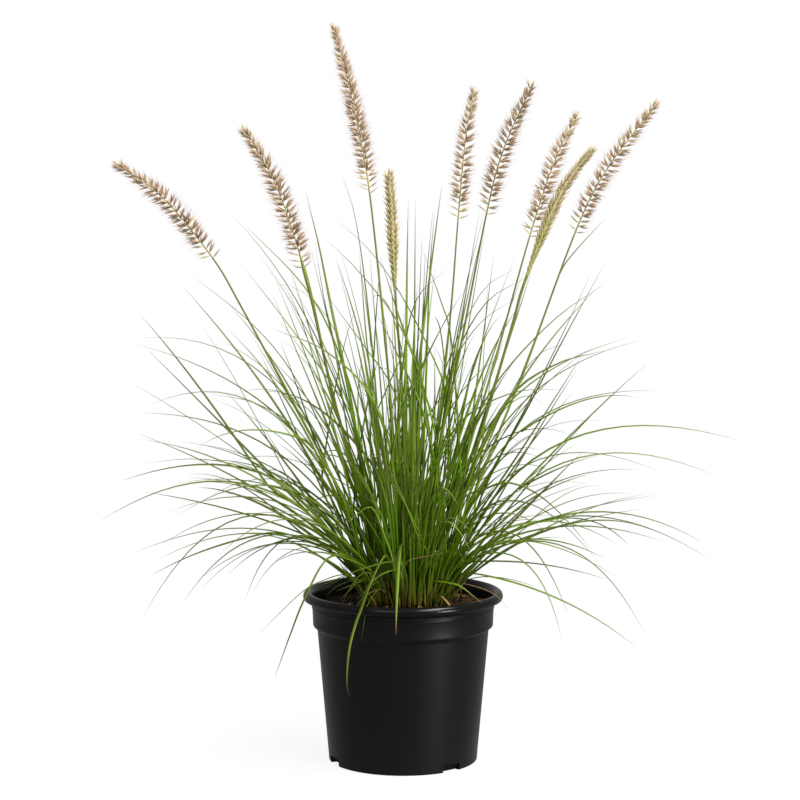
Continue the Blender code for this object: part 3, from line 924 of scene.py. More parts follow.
def streaked(tree, fibre, colour, share, streak):
    """The colour with another along its fibres, up to this share."""
    return mixed(tree, spread_over(tree, fibre["Shade"], 0.0, share), colour, streak)


def freshened(tree, colour, low, high):
    """The colour, turned yellow-green on young stalks between two marks along them."""
    is_young = sums(tree, "GREATER_THAN", reading(tree, "tint"), YOUNG_TINT)
    fresh = ranged(tree, reading(tree, "along"), low, high)
    return mixed(tree, times(tree, is_young, fresh), colour, (130, 134, 48))


def leaf_material(name, lower, middle, upper, late=(112, 120, 62), tip=(132, 128, 96)):
    """Green blades: brown at the soil, then three greens towards a greyer tip, with painted shade low on the
    duller strands.
    """
    material, tree, shader = new_material(name, 0.5, 0.14)
    along = reading(tree, "along")
    colour = ramp(tree, along, (
        (0.00, (60, 40, 18)),
        (0.025, (96, 82, 28)),
        (0.07, (124, 130, 30)),
        (0.16, lower),
        (0.42, middle),
        (0.68, upper),
        (0.86, late),
        (1.00, tip),
    ))
    stepped = stepped_tint(tree, 7.3)
    hue = spread_over(tree, reading(tree, "tint"), 0.493, 0.508)
    colour = shifted(tree, colour, hue, spread_over(tree, stepped, 0.86, 1.16))
    fibre = use_group(tree, PLANT_FIBRE, Lines=5.0, Breaks=5.0)
    colour = streaked(tree, fibre, colour, 0.24, (62, 94, 8))
    midrib = sums(tree, "ABSOLUTE", reading(tree, "across"))
    pale = ranged(tree, midrib, 0.28, 0.02, 0.0, 0.3)
    colour = mixed(tree, pale, colour, (150, 176, 54))
    dry = use_group(tree, DRY_END, Share=0.11, Start=0.9, Softness=0.08)
    colour = mixed(tree, dry["Mask"], colour, (142, 112, 70))
    # Painted shade: the duller strands are darkened towards (16, 30, 3) low down, where the clump shades its
    # own foot.
    painted_shade = ranged(tree, stepped, 0.5, 0.1, 0.0, 0.85, False)
    low = ranged(tree, along, 0.32, 0.12)
    colour = mixed(tree, times(tree, painted_shade, low), colour, (16, 30, 3))
    tree.links.new(spread_over(tree, fibre["Shade"], 0.42, 0.62), shader.inputs["Roughness"])
    return coated(material, colour, fibre["Height"])


def straw_material():
    """Dry leaves and litter: straw with browner streaks."""
    material, tree, _ = new_material("dry_straw", 0.7, 0.25)
    fibre = use_group(tree, PLANT_FIBRE, Lines=7.0, Breaks=6.0)
    colour = ramp(tree, reading(tree, "tint"), (
        (0.0, (176, 146, 92)),
        (0.45, (150, 122, 70)),
        (1.0, (196, 168, 112)),
    ))
    colour = streaked(tree, fibre, colour, 0.65, (106, 74, 40))
    return coated(material, colour, fibre["Height"], 0.4)


def sheath_material():
    """Shoot bases: dark brown at the soil, then olive and green, and some of dry straw, partly darkened as
    painted shade.
    """
    material, tree, _ = new_material("shoot_base", 0.55, 0.3)
    along = reading(tree, "along")
    fibre = use_group(tree, PLANT_FIBRE, Lines=5.0, Breaks=5.0)
    # Partly the bases' own browns and greens, partly painted shade: the ramps are kept dark so that the gaps
    # between the stems read as shade.
    green = ramp(tree, along, (
        (0.00, (46, 28, 16)),
        (0.12, (88, 68, 30)),
        (0.30, (112, 108, 36)),
        (0.60, (90, 106, 26)),
        (1.00, (66, 90, 22)),
    ))
    dry = ramp(tree, along, (
        (0.00, (94, 60, 34)),
        (0.30, (146, 118, 58)),
        (1.00, (176, 156, 84)),
    ))
    is_dry = sums(tree, "LESS_THAN", reading(tree, "tint"), 0.24)
    colour = streaked(tree, fibre, mixed(tree, is_dry, green, dry), 0.45, (70, 66, 26))
    return coated(material, colour, fibre["Height"], 0.4)


def stem_material():
    """Flower stems: yellow-green below, a duller grey-green under the plume."""
    material, tree, _ = new_material("flower_stem_green", 0.48, 0.2)
    fibre = use_group(tree, PLANT_FIBRE, Lines=4.0, Breaks=14.0)
    colour = ramp(tree, reading(tree, "along"), (
        (0.00, (130, 108, 46)),
        (0.10, (132, 158, 30)),
        (0.45, (128, 152, 38)),
        (0.75, (120, 132, 46)),
        (1.00, (112, 120, 60)),
    ))
    colour = freshened(tree, colour, 0.76, 0.96)
    return coated(material, streaked(tree, fibre, colour, 0.35, (66, 84, 30)), fibre["Height"])


def rachis_material():
    """The plume's own stalk: straw, and on a young plume yellow-green at its foot."""
    material, tree, _ = new_material("rachis_green", 0.5, 0.3)
    fibre = use_group(tree, PLANT_FIBRE, Lines=4.0, Breaks=20.0)
    colour = streaked(tree, fibre, (162, 156, 82), 0.5, (124, 120, 58))
    return coated(material, freshened(tree, colour, 0.45, 0.1), fibre["Height"])


def spikelet_material(name, foot, belly, tip, edge, young, spread=0.21):
    """A husk: shaded from its foot over its belly to its tip, with paler edges.

    Strands of the higher tints are the young colour instead.
    """
    material, tree, _ = new_material(name, 0.62, 0.2)
    fibre = use_group(tree, PLANT_FIBRE, Lines=3.5, Breaks=3.0)
    stops = ((0.0, foot), (0.42, belly), (0.72, belly), (1.0, tip))
    colour = ramp(tree, reading(tree, "along"), stops)
    is_young = ranged(tree, reading(tree, "tint"), 0.4, 0.8, 0.0, 0.85)
    colour = mixed(tree, is_young, colour, young)
    brightness = spread_over(tree, stepped_tint(tree, 5.7), 1.0 - spread, 1.0 + spread)
    colour = shifted(tree, colour, 0.5, brightness)
    margin = sums(tree, "ABSOLUTE", reading(tree, "across"))
    colour = mixed(tree, ranged(tree, margin, 0.6, 1.0, 0.0, 0.65), colour, edge)
    return coated(material, streaked(tree, fibre, colour, 0.35, edge), fibre["Height"], 0.3)


def bristle_material(name, foot, tip):
    """Bristles, shaded from foot to tip."""
    material, tree, _ = new_material(name, 0.6, 0.25)
    colour = ramp(tree, reading(tree, "along"), ((0.1, foot), (0.9, tip)))
    brightness = spread_over(tree, stepped_tint(tree, 5.7), 0.85, 1.15)
    return coated(material, shifted(tree, colour, 0.5, brightness))


def soil_material():
    """Peat and bark: nearly black, with rusty patches, with painted shade at the left, and darker deep down.
    """
    material, tree, _ = new_material("potting_soil", 0.92, 0.2)
    patches = use_group(tree, GRIME, Scale=70.0, Cover=0.5, Softness=0.18)
    flecks = use_group(tree, GRIME, Scale=310.0, Cover=0.44, Softness=0.08)
    colour = mixed(tree, patches["Mask"], (24, 17, 12), (58, 36, 20))
    colour = mixed(tree, flecks["Mask"], colour, (96, 62, 34))
    spot = add_node(tree, "SeparateXYZ", Vector=object_spot(tree)).outputs
    # Painted shade: the soil is darkened towards the left, where the foliage shades it.
    painted_shade_left = ranged(tree, spot["X"], 10 * MM, -40 * MM, 0.0, 0.85)
    deep = ranged(tree, spot["Z"], 80 * MM, 40 * MM)
    colour = mixed(tree, sums(tree, "MAXIMUM", painted_shade_left, deep), colour, (8, 6, 4))
    return coated(material, colour, flecks["Grain"], 0.8, 1.0 * MM)


def crumb_material():
    """Crumbs of bark and peat, each its own brown."""
    material, tree, _ = new_material("bark_crumb", 0.88, 0.2)
    grain = use_group(tree, GRIME, Scale=260.0, Cover=0.5, Softness=0.2)
    colour = ramp(tree, reading(tree, "tint"), (
        (0.0, (20, 14, 10)),
        (0.5, (46, 30, 18)),
        (0.8, (88, 56, 32)),
        (1.0, (124, 84, 50)),
    ))
    colour = mixed(tree, times(tree, grain["Mask"], 0.4), colour, (26, 18, 12))
    return coated(material, colour, grain["Grain"], 0.6, 0.6 * MM)


def peat_fibre_material():
    """Rusty fibres that stick out of the soil."""
    material, tree, _ = new_material("peat_fibre", 0.8, 0.2)
    fibre = use_group(tree, PLANT_FIBRE, Lines=3.0, Breaks=6.0)
    colour = ramp(tree, reading(tree, "tint"), (
        (0.0, (74, 46, 26)),
        (0.6, (124, 82, 46)),
        (1.0, (168, 124, 76)),
    ))
    return coated(material, streaked(tree, fibre, colour, 0.5, (48, 30, 18)))


def pot_material():
    """Black moulded plastic: a satin skin with fine texture, scuffs and a little dust."""
    material, tree, shader = new_material("black_pot_plastic", 0.4, 0.18)
    spot = object_spot(tree)
    parts = add_node(tree, "SeparateXYZ", Vector=spot).outputs
    dust = use_group(tree, GRIME, Scale=26.0, Cover=0.46, Softness=0.22)
    specks = use_group(tree, GRIME, Scale=420.0, Cover=0.34, Softness=0.05)
    low = ranged(tree, parts["Z"], 26 * MM, 2 * MM, 0.0, 0.5)
    high = ranged(tree, parts["Z"], SOIL_TOP - 8 * MM, POT_TOP, 0.0, 0.35)
    settled = times(tree, dust["Mask"], sums(tree, "ADD", low, high))
    speckled = times(tree, specks["Mask"], 0.22)
    cover = sums(tree, "MAXIMUM", settled, times(tree, speckled, dust["Mask"]))
    colour = mixed(tree, cover, (13, 13, 12), (60, 57, 50))
    long_way = add_node(tree, "Mapping", Vector=spot, Scale=(9.0, 9.0, 36.0)).outputs[0]
    scuffs = noise_value(tree, long_way, 4.0, 4.0, 0.6)
    rough = ranged(tree, scuffs, 0.3, 0.75, 0.34, 0.39, False)
    polish = ranged(tree, parts["Z"], LIP_UNDERSIDE + 4 * MM, POT_TOP - 3 * MM, 0.0, 0.17)
    tree.links.new(sums(tree, "SUBTRACT", rough, polish), shader.inputs["Roughness"])
    return coated(material, colour, noise_value(tree, spot, 1100.0), 0.1)


LEAF = leaf_material("leaf_green", (88, 122, 3), (106, 146, 10), (118, 146, 48))
OUTER_LEAF = leaf_material("leaf_olive", (80, 112, 4), (100, 126, 22), (112, 128, 58))
# A lighter copy of the leaf greens, painted light for the rim and loose leaves that hang in the clump's
# shade.
RIM_LEAF = leaf_material(
    "leaf_painted_light", (118, 150, 36), (122, 154, 48), (122, 150, 52), (124, 142, 58), (146, 118, 74),
)
STRAW = straw_material()
SHOOT_BASE = sheath_material()
STEM = stem_material()
RACHIS = rachis_material()
RIPE_HUSK = spikelet_material(
    "ripe_husk", (206, 190, 134), (180, 151, 122), (198, 170, 154), (224, 204, 172), (178, 166, 114),
)
UNRIPE_HUSK = spikelet_material(
    "unripe_husk", (210, 202, 150), (198, 180, 130), (170, 138, 110), (224, 212, 168),
    (156, 164, 62), 0.1,
)
RIPE_BRISTLE = bristle_material("ripe_bristle", (180, 148, 128), (200, 172, 170))
UNRIPE_BRISTLE = bristle_material("unripe_bristle", (200, 186, 122), (190, 166, 132))
POT_PLASTIC = pot_material()
SOIL = soil_material()
CRUMB = crumb_material()
PEAT_FIBRE = peat_fibre_material()


# --------------------------------------------------------------------- pot


def arc(centre, radius, start, end, steps):
    """Points of a round stretch of a profile, as (radius from the axis, height)."""
    points = []
    for i in range(steps + 1):
        angle = math.radians(start + (end - start) * i / steps)
        points.append((centre[0] + radius * math.cos(angle), centre[1] + radius * math.sin(angle)))
    return points


def pot_profile():
    """The pot's section from the inside floor, over the rolled lip, to the underside."""
    inner_top = BODY_TOP_RADIUS - WALL
    inner_base = BASE_RADIUS - WALL
    inner_collar = COLLAR_RADIUS - WALL
    lip_roll = 5.6 * MM
    lip_centre = (RIM_RADIUS - lip_roll, POT_TOP - lip_roll)
    ridge = LIP_UNDERSIDE - 4 * MM
    return [
        (0.0, FLOOR),
        (inner_base - 3 * MM, FLOOR),
        (inner_base, FLOOR + 3.5 * MM),
        (inner_top, SHOULDER_HEIGHT - 2 * MM),
        (inner_collar, SHOULDER_HEIGHT + 3 * MM),
        (inner_collar + 0.6 * MM, POT_TOP - 9 * MM),
        (inner_collar + 1.6 * MM, POT_TOP - 4.5 * MM),
        *arc(lip_centre, lip_roll, 118, -38, 12),
        (COLLAR_RADIUS + 2.6 * MM, LIP_UNDERSIDE + 2.2 * MM),
        *arc((COLLAR_RADIUS + 2.4 * MM, LIP_UNDERSIDE + 0.6 * MM), 1.6 * MM, 110, 190, 4),
        (COLLAR_RADIUS + 0.5 * MM, ridge + 1.6 * MM),
        *arc((COLLAR_RADIUS + 0.3 * MM, ridge), 0.7 * MM, 70, -70, 4),
        (COLLAR_RADIUS + 0.3 * MM, ridge - 1.6 * MM),
        (COLLAR_RADIUS - 0.4 * MM, SHOULDER_HEIGHT + 4 * MM),
        *arc((COLLAR_RADIUS - 3.0 * MM, SHOULDER_HEIGHT + 2.6 * MM), 2.6 * MM, 0, -80, 5),
        (BODY_TOP_RADIUS + 1.2 * MM, SHOULDER_HEIGHT - 0.6 * MM),
        (BODY_TOP_RADIUS + 0.2 * MM, SHOULDER_HEIGHT - 2.2 * MM),
        (BODY_TOP_RADIUS, SHOULDER_HEIGHT - 4 * MM),
        (BASE_RADIUS, 4 * MM),
        *arc((BASE_RADIUS - 1.6 * MM, 1.6 * MM), 1.5 * MM, 0, -84, 5),
        (BASE_RADIUS - 4 * MM, 0.0),
        (68 * MM, 0.2 * MM),
        (64 * MM, 1.2 * MM),
        (0.0, 1.2 * MM),
    ]


def notch_cutter(number, heading):
    """A block that opens one drain notch in the pot's bottom edge."""
    deep, wide, high = NOTCH_DEPTH, NOTCH_WIDTH / 2, NOTCH_HEIGHT
    outline = [(-wide, -high), (wide, -high), (wide, high - 1 * MM), (wide - 1 * MM, high)]
    outline += [(1 * MM - wide, high), (-wide, high - 1 * MM)]
    points = [(-deep, y, z) for y, z in outline] + [(deep, y, z) for y, z in outline]
    count = len(outline)
    faces = [tuple(reversed(range(count))), tuple(range(count, 2 * count))]
    for i in range(count):
        j = (i + 1) % count
        faces.append((i, j, count + j, count + i))
    mesh = bpy.data.meshes.new(f"notch_cutter_{number}")
    mesh.from_pydata(points, [], faces)
    cutter = add_piece(f"notch_cutter_{number}", mesh)
    angle = math.radians(heading)
    cutter.location = (BASE_RADIUS * math.cos(angle), BASE_RADIUS * math.sin(angle), 0.0)
    cutter.rotation_euler = (0.0, 0.0, angle)
    return cutter


def build_pot():
    profile = pot_profile()
    mesh = bpy.data.meshes.new("pot_section")
    edges = [(i, i + 1) for i in range(len(profile) - 1)]
    mesh.from_pydata([(r, 0.0, z) for r, z in profile], edges, [])
    turned = add_piece("pot_section", mesh)
    screw = turned.modifiers.new("turn", "SCREW")
    screw.steps = POT_STEPS
    screw.render_steps = POT_STEPS
    screw.use_merge_vertices = True
    screw.merge_threshold = 0.00002
    cutters = []
    for number, heading in enumerate(NOTCH_HEADINGS, 1):
        cutter = notch_cutter(number, heading)
        cut = turned.modifiers.new(f"notch_{number}", "BOOLEAN")
        cut.operation = "DIFFERENCE"
        cut.solver = "EXACT"
        cut.object = cutter
        cutters.append(cutter)
    depsgraph = bpy.context.evaluated_depsgraph_get()
    shell = bpy.data.meshes.new_from_object(turned.evaluated_get(depsgraph))
    shell.shade_smooth()
    shell.set_sharp_from_angle(angle=math.radians(40))
    for helper in (turned, *cutters):
        bpy.data.objects.remove(helper, do_unlink=True)
    shell.materials.clear()
    shell.materials.append(POT_PLASTIC)
    settle(add_piece("pot_shell", shell), "pot_plastic", "pot")


# -------------------------------------------------------------------- soil


def soil_height(x, y):
    """The lumpy, mounded top of the soil."""
    reach = math.hypot(x, y)
    mound = smoothstep(60 * MM, SOIL_RADIUS, reach) * -5 * MM
    coarse = noise.noise(Vector((x * 55, y * 55, 3.1))) * 1.6 * MM
    fine = noise.noise(Vector((x * 210, y * 210, 7.7))) * 0.8 * MM
    return SOIL_TOP - 1.2 * MM + mound + coarse + fine


def build_soil():
    """The potting mix, a closed body whose top is lumpy."""
    skin = Skin()
    around = 120
    rings = 34
    ways = [level_way(math.tau * i / around) for i in range(around)]
    base = BASE_RADIUS - WALL - 0.3 * MM
    loops = []
    for radius, height in ((base - 3 * MM, FLOOR + 0.3 * MM), (base, FLOOR + 4 * MM),
                           (BODY_TOP_RADIUS - WALL - 0.3 * MM, SHOULDER_HEIGHT - 4 * MM),
                           (SOIL_RADIUS, SHOULDER_HEIGHT + 4 * MM)):
        spots = [way * radius + UP * height for way in ways]
        loops.append(skin.add_ring(spots, 0.5, 0.0, [0.0] * around))
    for k in range(rings):
        spots = [way * SOIL_RADIUS * (1 - k / rings) for way in ways]
        spots = [spot + UP * soil_height(spot.x, spot.y) for spot in spots]
        loops.append(skin.add_ring(spots, 0.5, 1.0, [0.0] * around))
    for lower, upper in zip(loops, loops[1:]):
        skin.wrap(lower, upper)
    skin.close_tip(loops[-1], skin.add_point(Vector((0, 0, soil_height(0, 0))), 0.5, 1.0, 0.0))
    skin.close_foot(loops[0], skin.add_point(Vector((0, 0, FLOOR + 0.3 * MM)), 0.5, 0.0, 0.0))
    piece = skin.piece("potting_mix", [SOIL])
    piece.data.uv_layers.remove(piece.data.uv_layers["OFBake"])
    settle(piece, "soil", "soil")


def on_soil(dice, nearest, farthest):
    """A spot on the soil between two distances from the pot's axis."""
    reach = math.sqrt(dice.uniform(nearest ** 2, farthest ** 2))
    turn = dice.uniform(0, math.tau)
    x, y = reach * math.cos(turn), reach * math.sin(turn)
    return Vector((x, y, soil_height(x, y)))


def build_crumbs():
    """Crumbs of bark and peat that lie on the soil."""
    dice = random.Random(11)
    skin = Skin()
    for _ in range(CRUMB_COUNT):
        spot = on_soil(dice, 30 * MM, SOIL_RADIUS - 3 * MM)
        size = dice.uniform(0.8, 2.6) * MM
        long_way = Vector((dice.uniform(-1, 1), dice.uniform(-1, 1), dice.uniform(-0.2, 0.4)))
        long_way = long_way.normalized() * size * dice.uniform(0.8, 1.9)
        route = [spot + UP * size * 0.15 + long_way * t for t in (-0.5, -0.2, 0.15, 0.5)]
        radii = [size * f * dice.uniform(0.7, 1.1) for f in (0.35, 0.6, 0.55, 0.3)]
        tube(skin, route, radii, 5, dealt_tint(dice), squash=dice.uniform(0.5, 1.0))
    settle(skin.piece("bark_crumbs", [CRUMB]), "soil")


def build_fibres():
    """Rusty fibres on and in the soil, thickest on the right."""
    dice = random.Random(23)
    skin = Skin()
    for _ in range(FIBRE_COUNT):
        spot = on_soil(dice, 45 * MM, SOIL_RADIUS - 6 * MM)
        if spot.x < 0 and dice.random() < 0.82:
            continue
        turn = dice.uniform(0, math.tau)
        length = dice.uniform(5, 15) * MM
        run = level_way(turn) * length
        curl = crosswise(run) * dice.uniform(-0.35, 0.35)
        lift = UP * dice.uniform(0.3, 2.6) * MM
        corners = (spot, spot + run * 0.35 + curl * 0.6 + lift, spot + run * 0.7 + curl + lift * 0.8,
                   spot + run + curl * 0.7 + UP * 0.3 * MM)
        route = smooth_route([inside_pot(corner) for corner in corners], 6)
        radius = dice.uniform(0.16, 0.36) * MM
        tube(skin, route, [radius] * 6 + [radius * 0.4], 4, dealt_tint(dice))
    settle(skin.piece("peat_fibres", [PEAT_FIBRE]), "soil")


def inside_pot(point):
    """The point, drawn in where it would pass through the pot's wall."""
    reach = math.hypot(point.x, point.y)
    room = SOIL_RADIUS - 1.5 * MM
    if reach <= room:
        return point
    return Vector((point.x * room / reach, point.y * room / reach, point.z))


def build_litter():
    """Bits of straw fallen on the soil, and one torn sheath at the front right."""
    dice = random.Random(37)
    skin = Skin()
    for _ in range(STRAW_COUNT):
        spot = on_soil(dice, 50 * MM, SOIL_RADIUS - 8 * MM) + UP * 0.8 * MM
        if spot.x < 0 and dice.random() < 0.75:
            continue
        turn = dice.uniform(0, 360)
        run = level_way(math.radians(turn)) * dice.uniform(8, 26) * MM
        lift = UP * dice.uniform(0.5, 5.0) * MM
        bow = crosswise(run) * dice.uniform(-0.2, 0.2)
        corners = [inside_pot(p) for p in (spot, spot + run * 0.5 + bow + lift, spot + run)]
        width = dice.uniform(0.9, 2.2) * MM
        blade(skin, smooth_route(corners, 7), turn, width, *swayed(dice, 0.8, 1.0), NO_SHEATH)
    torn = smooth_route(in_metres(TORN_SHEATH), 6)
    blade(skin, torn, 150, 3.8 * MM, dealt_tint(dice, 0.8, 1.0), 0.9, 0.4, NO_SHEATH)
    settle(skin.piece("straw_litter", [STRAW]), "crown")


# -------------------------------------------------------------------- grass


def build_sheaths():
    """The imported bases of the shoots, a bundle that stands in the soil."""
    dice = random.Random(5)
    skin = Skin()
    for _ in range(SHEATH_COUNT):
        share = math.sqrt(dice.random())
        heading = dice.uniform(0, 360)
        reach = CROWN_FOOT_RADIUS * share
        height = dice.uniform(18, 62) * MM
        lean = math.radians(34) * share * dice.uniform(0.6, 1.1)
        foot = place(heading, reach, FOOT_HEIGHT - 2 * MM)
        out = place(heading, reach + 1.0, 0.0) - place(heading, reach, 0.0)
        top = foot + UP * height * math.cos(lean) + out * height * math.sin(lean)
        bulge = foot.lerp(top, 0.4) - out * 1.2 * MM * share
        route = smooth_route((foot, bulge, top), 7)
        radius = dice.uniform(1.0, 1.7) * MM
        radii = [radius * f for f in (1.15, 1.1, 1.0, 0.95, 0.9, 0.8, 0.6, 0.15)]
        tube(skin, route, radii, 6, dealt_tint(dice), squash=dice.uniform(0.6, 1.0))
    settle(skin.piece("shoot_bases", [SHOOT_BASE]), "crown", "crown")


def end_leans(route):
    """How far a route leans from the upright where its blade starts and at its tip."""
    directions = tangents(route)
    early = directions[len(directions) // 4]
    late = directions[-1]
    return early.angle(UP), late.angle(UP)


def add_lesser_leaves(skin, dice, side, heading, spread, parents, count):
    """Smaller leaves that follow a shoot's own two, more upright towards the middle.

    Their routes join the parents, whose first two are the shoot's own.
    """
    for _ in range(count):
        parent = dice.choice(parents[:2])
        start_lean, tip_lean = end_leans(parent)
        share = math.sqrt(dice.uniform(0.02, 1.0)) * (0.6 if side == "upright" else 1.0)
        own = heading + dice.uniform(-0.5, 0.5) * spread
        lean = start_lean * (0.08 + 0.8 * share ** 1.3) + math.radians(dice.gauss(0, 7))
        droop = (tip_lean - start_lean) * dice.uniform(0.4, 1.1) * (0.3 + 0.7 * share)
        length = route_length(parent) * (0.42 + 0.5 * dice.random() ** 1.25)
        route = arching_leaf(own, CROWN_FOOT_RADIUS * share, lean, droop, length, dice.gauss(0, 20))
        if fits(route):
            width = LEAF_WIDTH * dice.uniform(0.5, 0.92)
            blade(skin, route, own, width, *swayed(dice, 1.1, 1.2), dice.uniform(0.13, 0.26),
                  dice.uniform(1.1, 2.0) * MM)
            parents.append(route)


def add_branching_leaves(skin, dice, parents, count, longest=280):
    """Thin leaves that leave the others part way up and cross between them."""
    made = 0
    for _ in range(count * 6):
        if made == count:
            break
        parent = dice.choice(parents)
        length = dice.uniform(90, longest) * MM
        route = branching_leaf(parent, dice.uniform(0.1, 0.6), dice.uniform(0, math.tau),
                               math.radians(dice.uniform(8, 34)), dice.uniform(0.0, 1.2), length)
        if fits(route):
            width = LEAF_WIDTH * dice.uniform(0.35, 0.8) * (0.7 + length / 0.9)
            blade(skin, route, math.degrees(dice.uniform(0, math.tau)), width, *swayed(dice, 1.3, 1.6),
                  NO_SHEATH, start=0.36)
            made += 1


def build_shoots():
    for side, rows in SHOOTS.items():
        for number, (heading, foot, *leaves) in enumerate(rows, 1):
            build_shoot(f"{side}_shoot_{number}", side, heading, foot, leaves)


def build_shoot(name, side, heading, foot, leaves):
    """A shoot's two traced leaves, with the lesser and the thin ones that go with them."""
    dice = random.Random(name)
    skin = Skin()
    parents = []
    breadth, spread, lesser, branching = SHOOT_HABITS[side]
    for which, leaf in enumerate(leaves):
        own = heading + LOW_LEAF_TURN * which
        route = traced_leaf(own, foot * MM, leaf)
        width = LEAF_WIDTH * dice.uniform(0.58, 0.82) * breadth
        blade(skin, route, own, OWN_WIDTHS.get((name, which), width), *swayed(dice, 0.7, 0.9))
        parents.append(route)
    add_lesser_leaves(skin, dice, side, heading, spread, parents, lesser)
    add_branching_leaves(skin, dice, parents, branching)
    settle(skin.piece(name + "_leaves", [OUTER_LEAF if side in ("left", "right") else LEAF]), "leaf", name)


def build_side_leaves():
    for name, leaves in SIDE_LEAVES.items():
        dice = random.Random(name)
        skin = Skin()
        for heading, foot, leaf, width in leaves:
            route = traced_leaf(heading, foot * MM, leaf)
            blade(skin, route, heading, width * SIDE_LEAF_BREADTH * MM, *swayed(dice, 0.7, 0.9), 0.16,
                  dice.uniform(1.1, 1.5) * MM)
        settle(skin.piece(name, [OUTER_LEAF]), "leaf")


def build_crossing_leaves():
    for name, leaves in CROSSING_LEAVES.items():
        dice = random.Random(name)
        skin = Skin()
        routes = []
        for foot, *onward in leaves:
            points = [Vector(point) for point in ((*foot, CROSSING_FOOT), *onward)]
            route = smooth_route(in_metres(points), LEAF_SPANS + 4)
            heading = run_heading(points[-1] - points[0])
            width = LEAF_WIDTH * dice.uniform(0.65, 1.0)
            blade(skin, route, heading, width, *swayed(dice, 0.9, 1.2), 0.18, dice.uniform(1.2, 1.8) * MM)
            routes.append(route)
        add_branching_leaves(skin, dice, routes, 6, 150)
        settle(skin.piece(name, [LEAF]), "leaf")


def build_rim_leaves():
    for number, (heading, points, width) in enumerate(RIM_LEAVES, 1):
        skin = Skin()
        foot = place(heading, points[0][0] * RIM_LEAF_FOOT * MM, FOOT_HEIGHT)
        route = smooth_route([foot, *table_points(heading, points)], 40)
        blade(skin, route, heading, width * MM, RIM_LEAF_TINT, 1.3, -1.5, sheath=0.1)
        settle(skin.piece(f"rim_leaf_{number}_blade", [RIM_LEAF]), "leaf", f"rim_leaf_{number}")


def build_thin_leaves(name, dice, twist, material, rows):
    """Thin leaves without a sheath, the green ones and the dry ones each a piece."""
    green, dry = Skin(), Skin()
    for route, heading, width, is_dry in rows:
        skin = dry if is_dry else green
        blade(skin, route, heading, width * MM, dealt_tint(dice), dice.uniform(-0.5, 0.5), twist, 0.0)
    settle(green.piece(name, [material]), "leaf")
    settle(dry.piece("dry_" + name, [STRAW]), "leaf")


def build_low_leaves():
    rows = []
    for heading, points, width, is_dry in LOW_LEAVES:
        rows.append((smooth_route(table_points(heading, points), 24), heading, width, is_dry))
    build_thin_leaves("low_leaves", random.Random(71), 0.8, LEAF, rows)


def build_loose_leaves():
    """The bent leaves that cross in front of the clump's foot."""
    rows = []
    for points, width, is_dry in LOOSE_LEAVES:
        route = smooth_route(in_metres(points), 28)
        rows.append((route, run_heading(route[-1] - route[0]), width, is_dry))
    build_thin_leaves("loose_leaves", random.Random(83), 0.6, RIM_LEAF, rows)


def stalk_tint(number):
    """The tint that tells a flower stem's materials whether it is young."""
    return FRESH_TINT if number in UNRIPE_PLUMES or number in BARE_FOOT else RIPE_TINT


def flower_route(row):
    """A flower stem's route from the soil, and its plume's route."""
    heading, stem_points, plume_points = row[:3]
    stem = table_points(heading, stem_points)
    plume = table_points(heading, plume_points)
    foot = place(heading, stem_points[0][0] * STEM_FOOT * MM, FOOT_HEIGHT)
    spans = 240
    whole = smooth_route([foot, *stem, *plume], spans)
    join_at = min(range(spans), key=lambda i: (whole[i] - plume[0]).length)
    return whole[:join_at + 1], whole[join_at:]


def build_stem(number, route, top_radius):
    """A flower stem with two sheathed joints, a thin leaf and, on some, a flag leaf."""
    dice = random.Random(300 + number)
    skin = Skin()
    knots = even_route(route, STEM_SPANS)
    lateness = THINNING if top_radius < STEM_FOOT_RADIUS else THICKENING
    radii = []
    for i in range(STEM_SPANS + 1):
        t = i / STEM_SPANS
        radius = STEM_FOOT_RADIUS + (top_radius - STEM_FOOT_RADIUS) * t ** lateness
        for joint, wrap in STEM_JOINTS:
            if joint <= t < joint + wrap:
                radius += JOINT_SWELL * (1 - (t - joint) / wrap)
        radii.append(radius)
    tube(skin, knots, radii, 10, stalk_tint(number))
    if number in FLAG_LEAVES:
        heading, points = FLAG_LEAVES[number]
        placed = table_points(heading, points)
        placed[0] = min(knots, key=lambda knot: (knot - placed[0]).length)
        blade(skin, smooth_route(placed, 20), heading, 1.5 * MM, 0.7, 0.8, 0.6, NO_SHEATH,
              slot=STEM_LEAF_SLOT, start=0.5)
    share = dice.uniform(0.3, 0.62)
    leaf = branching_leaf(knots, share, dice.uniform(0, math.tau), math.radians(dice.uniform(5, 20)),
                          dice.uniform(0.0, 0.5), dice.uniform(120, 230) * MM)
    if fits(leaf):
        blade(skin, leaf, 0.0, dice.uniform(1.6, 3.0) * MM, *swayed(dice, 1, 1), NO_SHEATH,
              slot=STEM_LEAF_SLOT, start=0.4)
    settle(skin.piece(f"flower_stem_{number}_stalk", [STEM, OUTER_LEAF]), "stem", f"flower_stem_{number}")


def husk(skin, foot, direction, side, length, width, tint):
    """One husk of a spikelet: a flattened body, pointed at both ends."""
    bow = side.cross(direction) * length * 0.06
    other = direction.cross(side) * HUSK_FLATNESS
    rings = []
    for t, fullness in HUSK_SHAPE:
        point = foot + direction * length * t + bow * math.sin(math.pi * t)
        rings.append(skin.add_round(point, side, other, width / 2 * fullness, HUSK_SIDES, tint, t))
    skin.loft(rings, (foot, foot + direction * length), tint, (0.0, 1.0), HUSK_SLOT)


def bristle(skin, foot, direction, bend, length, radius, tint):
    """A fine bristle that curves slightly."""
    route = [foot + direction * length * t + bend * length * t * t for t in (0.0, 0.4, 0.75, 1.0)]
    tube(skin, route, (radius, radius * 0.9, radius * 0.6, radius * 0.3), 3, tint, BRISTLE_SLOT)


